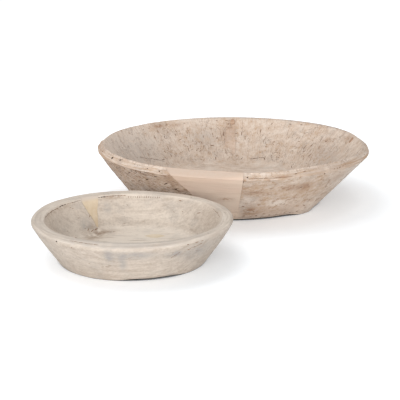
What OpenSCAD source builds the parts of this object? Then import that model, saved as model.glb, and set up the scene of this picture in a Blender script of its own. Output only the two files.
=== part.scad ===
// Two carved dough bowls that belong together: a wide one, mended at the front with a
// let-in wooden patch, and a small one that stands in front of it and nests inside it.
// Millimetres. The origin is the centre of the large foot, on the table, and +Z is up.
// The front of the pair is towards -Y.

/* [Large bowl] */
// Radius of the large rim, over its rounded outer edge
large_rim_r = 305; // [250:1:380]
// Height of the large bowl, at the inner corner of its rim
large_h = 129; // [100:1:160]
// Radius of the large foot
large_foot_r = 207; // [170:1:235]
// Thickness of the large wall, square to the wall
large_wall_t = 21.5; // [17:0.5:30]
// Thickness of the large floor
large_floor_t = 28; // [20:0.5:36]
// Drop from the inner corner of the large rim to its outer edge
large_rim_drop = 13; // [5:0.5:18]
// Rounding between the large wall and floor, inside
large_cove_r = 20; // [8:1:30]
// Rounding of the large rim's two edges
large_rim_round = 3; // [1:0.5:5]
// Rounding of the large foot's edge
large_foot_round = 4; // [1:0.5:8]

/* [Small bowl] */
// Radius of the small rim, over its rounded outer edge
small_rim_r = 187; // [170:1:230]
// Height of the small bowl
small_h = 80.5; // [60:0.5:95]
// Radius of the small foot
small_foot_r = 138; // [115:1:150]
// Thickness of the small wall, square to the wall
small_wall_t = 23; // [15:0.5:26]
// Thickness of the small floor
small_floor_t = 20; // [14:0.5:26]
// Rounding between the small wall and floor, inside
small_cove_r = 25; // [8:1:35]
// Rounding of the small rim's outer edge
small_rim_out_round = 3.5; // [2:0.5:9]
// Rounding of the small rim's inner edge
small_rim_in_round = 3; // [1:0.5:5]
// Rounding of the small foot's edge
small_foot_round = 5; // [1:0.5:8]

/* [Place of the small bowl] */
// Direction from the large bowl to the small one, anticlockwise from +X
small_bearing = -113.6; // [-170:0.1:-10]
// Clear space between the two rims, seen from above
bowls_gap = 8; // [2:0.5:60]

/* [Front patch] */
// Left end of the patch along the rim, from the middle of the bowl
patch_rim_left = -151; // [-170:1:-120]
// Right end of the patch along the rim, from the middle of the bowl
patch_rim_right = 12; // [0:1:30]
// Left side of the patch halfway down, from the middle of the bowl
patch_mid_left = -102; // [-115:1:-85]
// Left side of the patch at its foot, from the middle of the bowl
patch_foot_left = -62; // [-75:1:-40]
// Right side of the patch at its foot, from the middle of the bowl
patch_foot_right = 3; // [0:1:20]
// Height of the patch's foot above the bowl's inside floor
patch_sill = 3; // [1:0.5:15]

/* [Patch nails] */
// Diameter of the two nails
nail_d = 3; // [2:0.1:4]
// Length of the nails
nail_len = 36; // [25:1:50]
// Distance from a nail to the patch's end, along the rim
nail_from_seam = 6; // [4:0.5:9]
// Slant of the nails across the seam
nail_slant = 32; // [20:1:40]

/* [Back fill] */
// Width of the filled crack in the back wall
fill_w = 25; // [15:1:40]
// Width of the filled crack's narrow lower end
fill_tail_w = 11; // [6:1:14]
// Right edge of the filled crack, from the middle of the bowl
fill_right = 11; // [0:1:40]
// Drop from the rim to the top of the filled crack
fill_below_rim = 24; // [18:1:30]
// Height of the wide part of the filled crack
fill_wide_h = 36; // [20:1:40]
// Height of the whole filled crack
fill_h = 56; // [45:1:62]
// Depth of the filler in the wall, measured level
fill_depth = 12; // [5:1:18]

/* [Knot plugs] */
// Radius of the knot plugs
knot_r = 6; // [4:0.5:8]
// Depth of the knot plugs in the wall
knot_depth = 10; // [6:1:17]
// Drop from the rim to the middle of a knot plug
knot_below_rim = 12; // [10:0.5:14]
// Place of the back knot plug, anticlockwise from +X
knot_back_at = 89; // [60:1:110]
// Place of the right knot plug, anticlockwise from +X
knot_right_at = 12; // [-20:1:40]

/* [Small fills] */
// Place of the wedge in the small wall, anticlockwise from +X
wedge_at = 125; // [100:1:150]
// Width of the wedge at the small rim
wedge_rim_w = 38; // [20:1:50]
// Width of the wedge's blunt tip
wedge_tip_w = 3; // [2:0.5:8]
// Height of the wedge's tip above the small bowl's inside floor
wedge_sill = 10; // [4:1:20]
// Length of the filled check in the small floor
check_len = 40; // [20:1:60]
// Width of the filled check in the small floor
check_w = 24; // [10:1:36]
// Depth of the filler in the small floor
check_depth = 5; // [2:0.5:9]
// Place of the filled check to the right of the small bowl's middle
check_x = 38; // [20:1:45]
// Place of the filled check behind the small bowl's middle
check_y = 76; // [50:1:80]

/* [Seams] */
// Open seam between a let-in piece and the wood around it
seam = 0.2; // [0.1:0.05:0.5]

/* [Hidden] */
$fn = 96;

// Extra length by which a cutting tool passes the surface that it cuts
over = 2;
// Straight steps in each rounded corner of an outline
arc_steps = 6;

large_wood = [0.77, 0.69, 0.61];
patch_wood = [0.82, 0.72, 0.64];
small_wood = [0.81, 0.75, 0.69];
filler = [0.84, 0.75, 0.63];
knot_wood = [0.6, 0.42, 0.29];
iron = [0.24, 0.2, 0.18];

// Middle of the rounded outer edge of each rim, as radius and height
large_edge = [large_rim_r - large_rim_round, large_h - large_rim_drop];
small_edge = [small_rim_r - small_rim_out_round, small_h - small_rim_out_round];

// Lean of a wall that runs from the foot's corner up to the rounded edge, measured from upright
function wall_lean(foot_r, edge, round) =
    let (across = edge.x - foot_r)
    atan2(across, edge.y) + asin(round / norm([across, edge.y]));
large_lean = wall_lean(large_foot_r, large_edge, large_rim_round);
small_lean = wall_lean(small_foot_r, small_edge, small_rim_out_round);

// Radius of a bowl's inner wall at a height
function inner_r(z, foot_r, lean, wall_t) = foot_r + tan(lean) * z - wall_t / cos(lean);
function large_inner_r(z) = inner_r(z, large_foot_r, large_lean, large_wall_t);
function small_inner_r(z) = inner_r(z, small_foot_r, small_lean, small_wall_t);

large_floor_r = large_inner_r(large_floor_t);
small_floor_r = small_inner_r(small_floor_t);
small_reach = large_rim_r + small_rim_r + bowls_gap;
small_place = small_reach * [cos(small_bearing), sin(small_bearing), 0];

// Points on an arc from one angle to another
function arc(centre, r, from, to) =
    [for (i = [0 : arc_steps]) let (a = from + (to - from) * i / arc_steps) centre + r * [cos(a), sin(a)]];

// Rounded corner at b of the line a, b, c
function unit(v) = v / norm(v);
function corner(a, b, c, r) =
    let (
        u = unit(a - b),
        v = unit(c - b),
        half = acos(u * v) / 2,
        centre = b + unit(u + v) * r / sin(half),
        start = b + u * r / tan(half) - centre,
        from = atan2(start.y, start.x),
        turn = sign(cross(u, v)) * (2 * half - 180)
    )
    arc(centre, r, from, from + turn);

// Half section of a bowl: foot, leaning wall, rounded outer edge, rim face, inner corner, cove, floor.
// The rim face runs from the inner corner to the top of the rounded edge.
function bowl_section(foot, foot_round, lean, edge, edge_round, rim_in, in_round, inside, cove_r) =
    let (
        face = edge - rim_in,
        fall = atan2(-face.y, face.x) - asin(edge_round / norm(face)),
        rim_arc = arc(edge, edge_round, -lean, 90 - fall)
    )
    [
        [0, 0],
        each corner([0, 0], foot, rim_arc[0], foot_round),
        each rim_arc,
        each corner(rim_arc[arc_steps], rim_in, inside, in_round),
        each corner(rim_in, inside, [0, inside.y], cove_r),
        [0, inside.y],
    ];

module large_shell() {
    rotate_extrude()
        polygon(bowl_section(
            [large_foot_r, 0], large_foot_round,
            large_lean,
            large_edge, large_rim_round,
            [large_inner_r(large_h), large_h], large_rim_round,
            [large_floor_r, large_floor_t], large_cove_r
        ));
}

module small_shell() {
    rotate_extrude()
        polygon(bowl_section(
            [small_foot_r, 0], small_foot_round,
            small_lean,
            small_edge, small_rim_out_round,
            [small_inner_r(small_h), small_h], small_rim_in_round,
            [small_floor_r, small_floor_t], small_cove_r
        ));
}

// Wedge through the front wall: the patch as it is, or grown by its seam
module front_wedge(grow) {
    reach = large_floor_r - 2 * large_cove_r;
    foot_z = large_floor_t + patch_sill;
    mid_z = (foot_z + large_h) / 2;
    translate([0, -reach, 0])
        rotate([90, 0, 0])
            linear_extrude(large_rim_r + over - reach)
                polygon([
                    [patch_rim_left - grow, large_h + over],
                    [patch_mid_left - grow, mid_z],
                    [patch_foot_left - grow, foot_z - grow],
                    [patch_foot_right + grow, foot_z - grow],
                    [patch_rim_right + grow, large_h + over],
                ]);
}

// Nail shank down the middle of the front wall from the rim's face, slanting across a seam
module nail_shank(x, slant, d, len) {
    rim_mid_r = (large_rim_r + large_inner_r(large_h)) / 2;
    rotate([0, 0, asin(x / rim_mid_r)])
        translate([0, -rim_mid_r, large_h - large_rim_drop / 2])
            rotate([large_lean, 0, 0])
                rotate([0, slant, 0])
                    translate([0, 0, -len])
                        cylinder(d = d, h = len + nail_d + large_rim_drop);
}

module nail_pair(grow) {
    nail_shank(patch_rim_right + nail_from_seam, nail_slant, nail_d + 2 * grow, nail_len + grow);
    nail_shank(patch_rim_left - nail_from_seam, -nail_slant, nail_d + 2 * grow, nail_len + grow);
}

// Hollow of the large bowl above its floor, with its wall moved outwards
module large_hollow(deeper) {
    cylinder(r1 = large_inner_r(0) + deeper, r2 = large_inner_r(large_h) + deeper, h = large_h);
}

// Filled crack in the back wall, wide above and narrow below
module back_crack(grow) {
    top_z = large_h - fill_below_rim;
    left = fill_right - fill_w;
    tail_left = fill_right - fill_tail_w;
    intersection() {
        large_hollow(fill_depth + grow);
        translate([0, large_rim_r, 0])
            rotate([90, 0, 0])
                linear_extrude(large_rim_r)
                    polygon([
                        [left - grow, top_z + grow],
                        [fill_right + grow, top_z + grow],
                        [fill_right + grow, top_z - fill_h - grow],
                        [tail_left - grow, top_z - fill_h - grow],
                        [tail_left - grow, top_z - fill_wide_h - fill_w / 2],
                        [left - grow, top_z - fill_wide_h],
                    ]);
    }
}

// Round plug square to the inner face of the large wall
module knot_peg(at, r, depth) {
    z = large_h - knot_below_rim;
    rotate([0, 0, at])
        translate([large_inner_r(z), 0, z])
            rotate([0, 90 + large_lean, 0])
                translate([0, 0, -over])
                    cylinder(r = r, h = depth + over);
}

module knot_pegs(grow) {
    for (at = [knot_back_at, knot_right_at])
        knot_peg(at, knot_r + grow, knot_depth + grow);
}

// Wedge through the small wall, wide at the rim and blunt below
module wall_wedge(grow) {
    reach = small_floor_r - 2 * small_cove_r;
    tip_z = small_floor_t + wedge_sill;
    rotate([0, 0, wedge_at])
        translate([reach, 0, 0])
            rotate([90, 0, 90])
                linear_extrude(small_rim_r + over - reach)
                    polygon([
                        [-wedge_rim_w / 2 - grow, small_h + over],
                        [-wedge_tip_w / 2 - grow, tip_z - grow],
                        [wedge_tip_w / 2 + grow, tip_z - grow],
                        [wedge_rim_w / 2 + grow, small_h + over],
                    ]);
}

// Lens-shaped check in the small floor, where two arcs cross
module floor_check(grow, above) {
    len = check_len + 2 * grow;
    w = check_w + 2 * grow;
    arc_r = (len * len + w * w) / (4 * w);
    depth = check_depth + grow;
    translate([check_x, check_y, small_floor_t - depth])
        intersection() {
            translate([0, arc_r - w / 2, 0])
                cylinder(r = arc_r, h = depth + above);
            translate([0, w / 2 - arc_r, 0])
                cylinder(r = arc_r, h = depth + above);
        }
}

module large_bowl_body() {
    color(large_wood)
        difference() {
            large_shell();
            front_wedge(seam);
            back_crack(seam);
            knot_pegs(seam);
            nail_pair(seam / 2);
        }
}

module large_front_patch() {
    color(patch_wood)
        difference() {
            intersection() {
                large_shell();
                front_wedge(0);
            }
            nail_pair(seam / 2);
        }
}

module patch_nails() {
    color(iron)
        intersection() {
            large_shell();
            nail_pair(0);
        }
}

module large_back_fill() {
    color(filler)
        difference() {
            intersection() {
                large_shell();
                back_crack(0);
            }
            knot_pegs(seam);
        }
}

module large_knot_plugs() {
    color(knot_wood)
        intersection() {
            large_shell();
            knot_pegs(0);
        }
}

module small_bowl_body() {
    color(small_wood)
        translate(small_place)
            difference() {
                small_shell();
                wall_wedge(seam);
                floor_check(seam, over);
            }
}

module small_wedge_fill() {
    color(filler)
        translate(small_place)
            intersection() {
                small_shell();
                wall_wedge(0);
            }
}

module small_floor_fill() {
    color(filler)
        translate(small_place)
            floor_check(0, 0);
}

large_bowl_body();
large_front_patch();
patch_nails();
large_back_fill();
large_knot_plugs();
small_bowl_body();
small_wedge_fill();
small_floor_fill();
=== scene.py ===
"""Looks of a set of two carved dough bowls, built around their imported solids.

Each bowl is turned as a closed shell, carved with tool marks, cut for the mends that are let into it
and dressed as old whitewashed wood. Lengths are metres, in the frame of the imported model.
"""

import logging
import math
from dataclasses import dataclass, field, replace
from enum import Enum
from typing import Any, Iterator, Sequence

import bmesh
import bpy
import numpy as np
from mathutils import Matrix, Vector
from mathutils.bvhtree import BVHTree


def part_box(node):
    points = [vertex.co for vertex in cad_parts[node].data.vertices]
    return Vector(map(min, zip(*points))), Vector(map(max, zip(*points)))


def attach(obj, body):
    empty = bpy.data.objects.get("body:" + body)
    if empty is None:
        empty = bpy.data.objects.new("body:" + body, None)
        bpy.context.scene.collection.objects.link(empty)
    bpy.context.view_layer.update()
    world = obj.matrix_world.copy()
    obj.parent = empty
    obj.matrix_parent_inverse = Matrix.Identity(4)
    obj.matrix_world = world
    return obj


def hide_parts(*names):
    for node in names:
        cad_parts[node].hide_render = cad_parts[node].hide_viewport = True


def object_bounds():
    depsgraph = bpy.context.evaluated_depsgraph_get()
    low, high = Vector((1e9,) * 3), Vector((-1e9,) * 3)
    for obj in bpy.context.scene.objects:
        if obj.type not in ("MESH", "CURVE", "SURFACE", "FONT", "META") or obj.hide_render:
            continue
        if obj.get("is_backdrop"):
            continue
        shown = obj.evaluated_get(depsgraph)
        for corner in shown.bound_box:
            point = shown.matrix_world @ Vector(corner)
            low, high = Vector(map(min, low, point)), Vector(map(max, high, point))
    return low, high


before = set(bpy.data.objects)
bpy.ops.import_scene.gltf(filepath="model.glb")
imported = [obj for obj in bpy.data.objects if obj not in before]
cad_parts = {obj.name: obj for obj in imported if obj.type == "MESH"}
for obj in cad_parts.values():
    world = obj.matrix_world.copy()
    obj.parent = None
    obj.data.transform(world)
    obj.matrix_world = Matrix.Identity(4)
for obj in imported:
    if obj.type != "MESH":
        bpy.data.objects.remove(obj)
CAD_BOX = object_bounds()
LOG = logging.getLogger("dough_bowls")

MM = 0.001
# Distance within which vertices are one, and how far a tool reaches past the wood
WELD = 0.002 * MM
OVERSHOOT = 2 * MM
# Reach of a tint that goes all the way round, in millimetres
ALL_ROUND = 9000.0
Colour = tuple[float, float, float, float]
Triple = tuple[float, float, float]
Span = tuple[float, float]
Item = bpy.types.Object
Finish = bpy.types.Material
Socket = bpy.types.NodeSocket


def srgb(red: int, green: int, blue: int) -> Colour:
    """Turn a colour as seen on a screen into the linear colour that a shader takes.

    Args:
        red: Red from 0 to 255.
        green: Green from 0 to 255.
        blue: Blue from 0 to 255.

    Returns:
        Linear red, green and blue with full cover.
    """
    def linear(level: int) -> float:
        """Undo the screen's curve for one channel."""
        share = level / 255
        return share / 12.92 if share <= 0.04045 else ((share + 0.055) / 1.055) ** 2.4

    return linear(red), linear(green), linear(blue), 1.0


def rise(low: float, high: float, value: np.ndarray) -> np.ndarray:
    """Climb smoothly from 0 at low to 1 at high, or fall where low is the greater."""
    share = np.clip((value - low) / (high - low), 0.0, 1.0)
    return share * share * (3.0 - 2.0 * share)


def turn_gap(bearing: np.ndarray, middle: float) -> np.ndarray:
    """Angle in degrees from a middle bearing, the short way round, from -180 to 180."""
    return (bearing - middle + 180.0) % 360.0 - 180.0


def near(bearing: np.ndarray, middle: float, outer: float, inner: float) -> np.ndarray:
    """Climb from 0 at an outer angle off a middle bearing to 1 within an inner angle, in degrees."""
    return rise(outer, inner, np.abs(turn_gap(bearing, middle)))


def polar(place: np.ndarray) -> tuple[np.ndarray, np.ndarray, np.ndarray]:
    """Radius, level heading and bearing in degrees of places seen from a bowl's middle."""
    r = np.maximum(np.hypot(place[:, 0], place[:, 1]), 1e-6)
    heading = np.column_stack((place[:, 0] / r, place[:, 1] / r, np.zeros(len(r))))
    return r, heading, np.degrees(np.arctan2(heading[:, 1], heading[:, 0]))


class Face(Enum):
    """Surfaces of a bowl that a mark or a tint lies on."""

    INSIDE = "inner wall"
    OUTSIDE = "outer wall"
    RIM = "rim"
    FLOOR = "floor"


class Zone(Enum):
    """Shares of the surface that the wood's finish reads, each kept as an attribute of the mesh."""

    INSIDE = "inside"
    GROUND = "ground"
    RIM = "rim"
    SOIL = "soil"
    STAIN = "stain"
    PALE = "pale"
    GREY = "grey"
    PLANED = "planed"
    RING = "ring"


class Slot(Enum):
    """Places of the finishes on a piece of carved wood."""

    WOOD = 0
    TORN = 1
    HOLE = 2


class ToolNoise:
    """Seeded lattice noise from -1 to 1, which gives the carving its chance look."""

    def __init__(self, seed: int) -> None:
        """Keep the seed that sets this noise apart from others."""
        self.seed = seed

    def _corner(self, cell: np.ndarray) -> np.ndarray:
        """Hash lattice corners.

        Args:
            cell: Whole-number corners, one row each.

        Returns:
            A value from -1 to 1 for each corner.
        """
        mask = 0xFFFFFFFF
        primes = (374761393, 668265263, 974634533)
        mixed = sum(cell[:, axis] * prime for axis, prime in enumerate(primes)) + self.seed * 69069
        mixed = mixed & mask
        mixed = ((mixed ^ (mixed >> 13)) * 1274126177) & mask
        mixed = mixed ^ (mixed >> 16)
        return mixed / (mask / 2) - 1.0

    def smooth(self, points: np.ndarray) -> np.ndarray:
        """Smooth noise with one wave about every two units.

        Args:
            points: Places, one row of three each.

        Returns:
            A value from -1 to 1 for each place.
        """
        base = np.floor(points).astype(np.int64)
        part = points - base
        ease = part * part * part * (part * (part * 6 - 15) + 10)
        total = np.zeros(len(points))
        for step in np.ndindex(2, 2, 2):
            weight = np.prod(np.where(step, ease, 1 - ease), axis=1)
            total += weight * self._corner(base + step)
        return total

    def fractal(self, points: np.ndarray, layers: int = 3) -> np.ndarray:
        """Noise from about -1 to 1 at places, with finer layers on top, each half as strong."""
        total = sum(self.smooth(points * 2 ** k + 17.0 * k) * 0.5 ** k for k in range(layers))
        return total / (2 - 0.5 ** (layers - 1))

    def ridges(self, points: np.ndarray) -> np.ndarray:
        """Sharp ridges with hollows between them, from 0 in a hollow to 1 on a ridge."""
        return 1.0 - np.abs(self.smooth(points)) * 1.6


@dataclass(frozen=True)
class BowlShape:
    """Half section of a bowl, as radii and heights from the middle of its foot.

    Attributes:
        rim_r: Radius of the rim.
        height: Height of the rim's inner edge.
        foot_r: Radius of the foot.
        wall_t: Thickness of the wall.
        floor_t: Thickness of the floor.
        rim_drop: Fall of the rim's face to the middle of its rounded outer edge.
        out_round: Radius of the rim's rounded outer edge.
        in_round: Radius of the rim's rounded inner edge.
        foot_round: Radius of the foot's rounded edge.
        cove_r: Radius of the hollow corner between wall and floor.
        wall_step: Spacing of the rings of the mesh on the walls and the rim.
    """

    rim_r: float
    height: float
    foot_r: float
    wall_t: float
    floor_t: float
    rim_drop: float
    out_round: float
    in_round: float
    foot_round: float
    cove_r: float
    wall_step: float

    @property
    def edge(self) -> Vector:
        """Middle of the rim's rounded outer edge, as radius and height."""
        return Vector((self.rim_r - self.out_round, self.height - self.rim_drop))

    @property
    def lean(self) -> float:
        """Lean of the wall from upright, in radians."""
        across = self.edge.x - self.foot_r
        return math.atan2(across, self.edge.y) + math.asin(self.out_round / math.hypot(across, self.edge.y))

    @property
    def rim_in(self) -> Vector:
        """Sharp inner corner of the rim, as radius and height."""
        return Vector((float(self.inner_r(self.height)), self.height))

    def outer_r(self, height: Any) -> Any:
        """Radius of the outer wall at a height or at an array of heights."""
        return self.foot_r + math.tan(self.lean) * height

    def inner_r(self, height: Any) -> Any:
        """Radius of the inner wall at a height or at an array of heights."""
        return self.outer_r(height) - self.wall_t / math.cos(self.lean)

    def rim_z(self, radius: np.ndarray) -> np.ndarray:
        """Height of the rim's face at an array of radii."""
        share = (radius - self.rim_in.x) / (self.edge.x - self.rim_in.x)
        return self.height - share * (self.rim_drop - self.out_round)

    @staticmethod
    def _arc(centre: Vector, radius: float, start: float, end: float, steps: int) -> list[Vector]:
        """Points on an arc, from a start to an end angle in radians, a number of straight steps apart."""
        angles = np.linspace(start, end, steps + 1)
        return [centre + radius * Vector((math.cos(a), math.sin(a))) for a in angles]

    def _corner(self, before: Vector, point: Vector, after: Vector, radius: float,
                steps: int) -> list[Vector]:
        """Round the corner of a line.

        Args:
            before: Point before the corner.
            point: The sharp corner.
            after: Point after the corner.
            radius: Radius of the rounding.
            steps: Number of straight steps.

        Returns:
            The points of the rounding, in the line's direction.
        """
        back = (before - point).normalized()
        ahead = (after - point).normalized()
        half = back.angle(ahead) / 2
        centre = point + (back + ahead).normalized() * radius / math.sin(half)
        start = point + back * radius / math.tan(half) - centre
        first = math.atan2(start.y, start.x)
        side = math.copysign(1.0, back.x * ahead.y - back.y * ahead.x)
        return self._arc(centre, radius, first, first + side * (2 * half - math.pi), steps)

    def section(self) -> list[Vector]:
        """Points of the half section from the foot's middle, over the rim, to the floor's middle."""
        foot_mid = Vector((0, 0))
        floor_mid = Vector((0, self.floor_t))
        inside = Vector((float(self.inner_r(self.floor_t)), self.floor_t))
        face = self.edge - self.rim_in
        fall = math.atan2(-face.y, face.x) - math.asin(self.out_round / face.length)
        rim_arc = self._arc(self.edge, self.out_round, -self.lean, math.pi / 2 - fall, 5)
        stretches = [
            self._corner(foot_mid, Vector((self.foot_r, 0)), rim_arc[0], self.foot_round, 4),
            rim_arc,
            self._corner(rim_arc[-1], self.rim_in, inside, self.in_round, 4),
            self._corner(self.rim_in, inside, floor_mid, self.cove_r, 7),
            [floor_mid],
        ]
        fine = self.wall_step
        line = [foot_mid]
        for stretch, step in zip(stretches, (7 * fine, fine, 0.75 * fine, fine, 2.6 * fine)):
            start = line[-1]
            count = max(1, round((stretch[0] - start).length / step))
            line += [start.lerp(stretch[0], i / count) for i in range(1, count)]
            line += stretch
        return line


@dataclass
class Spots:
    """Vertices of a bowl's mesh, seen from the middle of its foot."""

    place: np.ndarray
    normal: np.ndarray
    r: np.ndarray = field(init=False)
    bearing: np.ndarray = field(init=False)
    heading: np.ndarray = field(init=False)

    def __post_init__(self) -> None:
        """Work out radius, bearing and heading of each vertex."""
        self.r = np.hypot(self.place[:, 0], self.place[:, 1])
        self.bearing = np.degrees(np.arctan2(self.place[:, 1], self.place[:, 0]))
        self.heading = self.place[:, :2] / np.maximum(self.r, 1e-6)[:, None]

    @classmethod
    def read(cls, mesh: bpy.types.Mesh, centre: Vector) -> "Spots":
        """Read a mesh.

        Args:
            mesh: Mesh to read.
            centre: Middle of the bowl's foot.

        Returns:
            The vertices' places and normals.
        """
        place = np.empty(len(mesh.vertices) * 3)
        normal = np.empty(len(mesh.vertices) * 3)
        mesh.vertices.foreach_get("co", place)
        mesh.vertex_normals.foreach_get("vector", normal)
        return cls(place.reshape(-1, 3) - np.array(centre), normal.reshape(-1, 3))

    @property
    def z(self) -> np.ndarray:
        """Heights of the vertices."""
        return self.place[:, 2]

    @property
    def out(self) -> np.ndarray:
        """Share of each normal that points away from the bowl's axis."""
        return np.sum(self.normal[:, :2] * self.heading, axis=1)

    def around(self, radius: float) -> np.ndarray:
        """Places moved to one radius, so that a pattern runs evenly round the bowl."""
        return np.column_stack((self.heading * radius, self.z))


@dataclass(frozen=True)
class Mark:
    """A nick, hole or short tear in the wood.

    Attributes:
        face: Surface that it lies on.
        bearing: Place round the bowl, in degrees anticlockwise from +X.
        level: Height on a wall, radius on the rim or the floor.
        length: Length of its mouth.
        breadth: Breadth of its mouth.
        depth: Depth.
        tilt: Angle of its long side from level, in degrees.
        slot: Finish of the wood that it bares.
    """

    face: Face
    bearing: float
    level: float
    length: float
    breadth: float
    depth: float
    tilt: float = 0.0
    slot: Slot = Slot.TORN


@dataclass(frozen=True)
class Strew:
    """Marks strewn by chance over one surface, in degrees and millimetres.

    Attributes:
        face: Surface that they lie on.
        count: Number of marks.
        bearings: Span of their bearings.
        levels: Span of their levels.
        lengths: Span of their lengths.
        breadths: Span of their breadths, or the one breadth.
        depths: Span of their depths, or the one depth.
        tilts: Middle and spread of their tilts.
        factor: Span of a factor on a mark's length, breadth and depth, or the one factor.
    """

    face: Face
    count: int
    bearings: Span
    levels: Span
    lengths: Span
    breadths: Span | float
    depths: Span | float
    tilts: Span
    factor: Span | float = 1.0


@dataclass(frozen=True)
class Crack:
    """A crack that wanders between two places of one surface, made of short tears.

    Attributes:
        face: Surface that it lies on.
        start: Bearing and level of one end.
        end: Bearing and level of the other end.
        tears: Number of short tears.
        breadth: Breadth of its mouth.
        depth: Depth.
        wander: How far it strays in level.
        slot: Finish of the wood that it bares.
    """

    face: Face
    start: Span
    end: Span
    tears: int
    breadth: float
    depth: float
    wander: float
    slot: Slot = Slot.TORN


@dataclass(frozen=True)
class Tint:
    """A soft spot where the finish differs.

    Attributes:
        zone: What the spot adds.
        face: Surface that it lies on.
        bearing: Middle, in degrees anticlockwise from +X.
        level: Middle height on a wall, radius on the rim or the floor.
        along: Reach along the bowl's round.
        up: Reach in level.
        amount: Strength at the middle.
    """

    zone: Zone
    face: Face
    bearing: float
    level: float
    along: float
    up: float
    amount: float


@dataclass(frozen=True)
class Swirl:
    """Rings of the grain round a buried knot in the inner wall.

    Attributes:
        bearing: Middle, in degrees anticlockwise from +X.
        level: Height of the middle.
        along: Reach along the bowl's round.
        up: Reach in height.
    """

    bearing: float
    level: float
    along: float
    up: float


class NodeBench:
    """Lays out the nodes of one material or of the world."""

    def __init__(self, owner: Finish | bpy.types.World) -> None:
        """Clear the nodes of a material or a world."""
        self.owner = owner
        owner.use_nodes = True
        self.tree = owner.node_tree
        self.tree.nodes.clear()

    @classmethod
    def for_finish(cls, name: str) -> "NodeBench":
        """Start a new material."""
        return cls(bpy.data.materials.new(name))

    def add(self, kind: str, inputs: dict[Any, Any], **settings: Any) -> bpy.types.Node:
        """Add a node.

        Args:
            kind: Type of the node.
            inputs: Sockets by name or number, each with a value or a socket to link.
            settings: Properties of the node.

        Returns:
            The new node.
        """
        node = self.tree.nodes.new(kind)
        for key, value in settings.items():
            setattr(node, key, value)
        for key, value in inputs.items():
            if isinstance(value, Socket):
                self.tree.links.new(value, node.inputs[key])
            else:
                node.inputs[key].default_value = value
        return node

    def spot(self, centre: Sequence[float]) -> Socket:
        """Object coordinates, moved so that a centre becomes their origin."""
        place = self.add("ShaderNodeTexCoord", {}).outputs["Object"]
        shift = tuple(-value for value in centre)
        return self.add("ShaderNodeMapping", {"Vector": place, "Location": shift}).outputs["Vector"]

    def vector(self, operation: str, inputs: dict[Any, Any]) -> Socket:
        """Result of a Vector Math node, a vector or the number that a length gives."""
        node = self.add("ShaderNodeVectorMath", inputs, operation=operation)
        return node.outputs["Value" if operation == "LENGTH" else "Vector"]

    def around(self, spot: Socket, radius: float, by_reach: bool = False) -> Socket:
        """Coordinates that run evenly round a bowl.

        Args:
            spot: Coordinates from the middle of the bowl's foot.
            radius: Radius at which lengths round the bowl are true.
            by_reach: Whether the distance from the bowl's axis takes the place of the height.

        Returns:
            The point at that radius with the same bearing, at its height or raised by its distance.
        """
        level = self.vector("MULTIPLY", {0: spot, 1: (1, 1, 0)})
        ring = self.vector("SCALE", {0: self.vector("NORMALIZE", {0: level}), "Scale": radius})
        if by_reach:
            lift = self.add("ShaderNodeCombineXYZ", {"Z": self.vector("LENGTH", {0: level})}).outputs[0]
        else:
            lift = self.vector("MULTIPLY", {0: spot, 1: (0, 0, 1)})
        return self.vector("ADD", {0: ring, 1: lift})

    def noise(self, spot: Socket, size: Triple, detail: float = 3.0, rough: float = 0.55,
              warp: float = 0.0) -> Socket:
        """Noise whose spots have about a given size.

        Args:
            spot: Coordinates to read.
            size: Size of a spot along each axis.
            detail: Layers of finer noise.
            rough: Strength of the finer layers.
            warp: Distortion.

        Returns:
            The noise, from 0 to 1.
        """
        scale = tuple(1.0 / value for value in size)
        stretched = self.add("ShaderNodeMapping", {"Vector": spot, "Scale": scale}).outputs["Vector"]
        inputs = {
            "Vector": stretched, "Scale": 1.0, "Detail": detail, "Roughness": rough, "Distortion": warp,
        }
        return self.add("ShaderNodeTexNoise", inputs).outputs["Fac"]

    def slanted(self, spot: Socket, bearing: float, tilt: float) -> Socket:
        """Coordinates turned so that a pattern along Y slants down to the right on a wall.

        Args:
            spot: Coordinates from the middle of the bowl's foot.
            bearing: Bearing of the wall, in degrees.
            tilt: Slant, in degrees.

        Returns:
            The turned coordinates, with X out of that wall.
        """
        for turn in ((0, 0, math.radians(-bearing)), (math.radians(tilt), 0, 0)):
            spot = self.add("ShaderNodeMapping", {"Vector": spot, "Rotation": turn}).outputs[0]
        return spot

    def zone(self, zone: Zone) -> Socket:
        """Share of the surface that lies in a zone."""
        return self.add("ShaderNodeAttribute", {}, attribute_name=zone.value).outputs["Fac"]

    def sum(self, operation: str, first: Any, second: Any, third: Any = 0.0) -> Socket:
        """Result of a Math node on numbers or sockets."""
        return self.add("ShaderNodeMath", {0: first, 1: second, 2: third}, operation=operation).outputs[0]

    def times(self, first: Any, second: Any) -> Socket:
        """Product of two numbers or sockets."""
        return self.sum("MULTIPLY", first, second)

    def plus(self, base: Any, value: Any, weight: Any) -> Socket:
        """A base with a weighted value added."""
        return self.sum("MULTIPLY_ADD", value, weight, base)

    def swing(self, noise: Socket) -> Socket:
        """Noise from 0 to 1 as a swing about zero."""
        return self.sum("SUBTRACT", noise, 0.5)

    def step(self, value: Socket, low: float, high: float, top: float = 1.0) -> Socket:
        """Climb smoothly from 0 at low to top at high."""
        inputs = {"Value": value, "From Min": low, "From Max": high, "To Max": top}
        return self.add("ShaderNodeMapRange", inputs, interpolation_type="SMOOTHSTEP").outputs["Result"]

    def mix(self, share: Any, first: Any, second: Any) -> Socket:
        """Mix two colours by a share."""
        inputs = {0: share, 6: first, 7: second}
        return self.add("ShaderNodeMix", inputs, data_type="RGBA").outputs[2]

    def coat(self, colour: Any, coats: Sequence[tuple[Any, Any]]) -> Any:
        """Lay coats over a colour in their order, each a share and a colour."""
        for share, tone in coats:
            colour = self.mix(share, colour, tone)
        return colour

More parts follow.
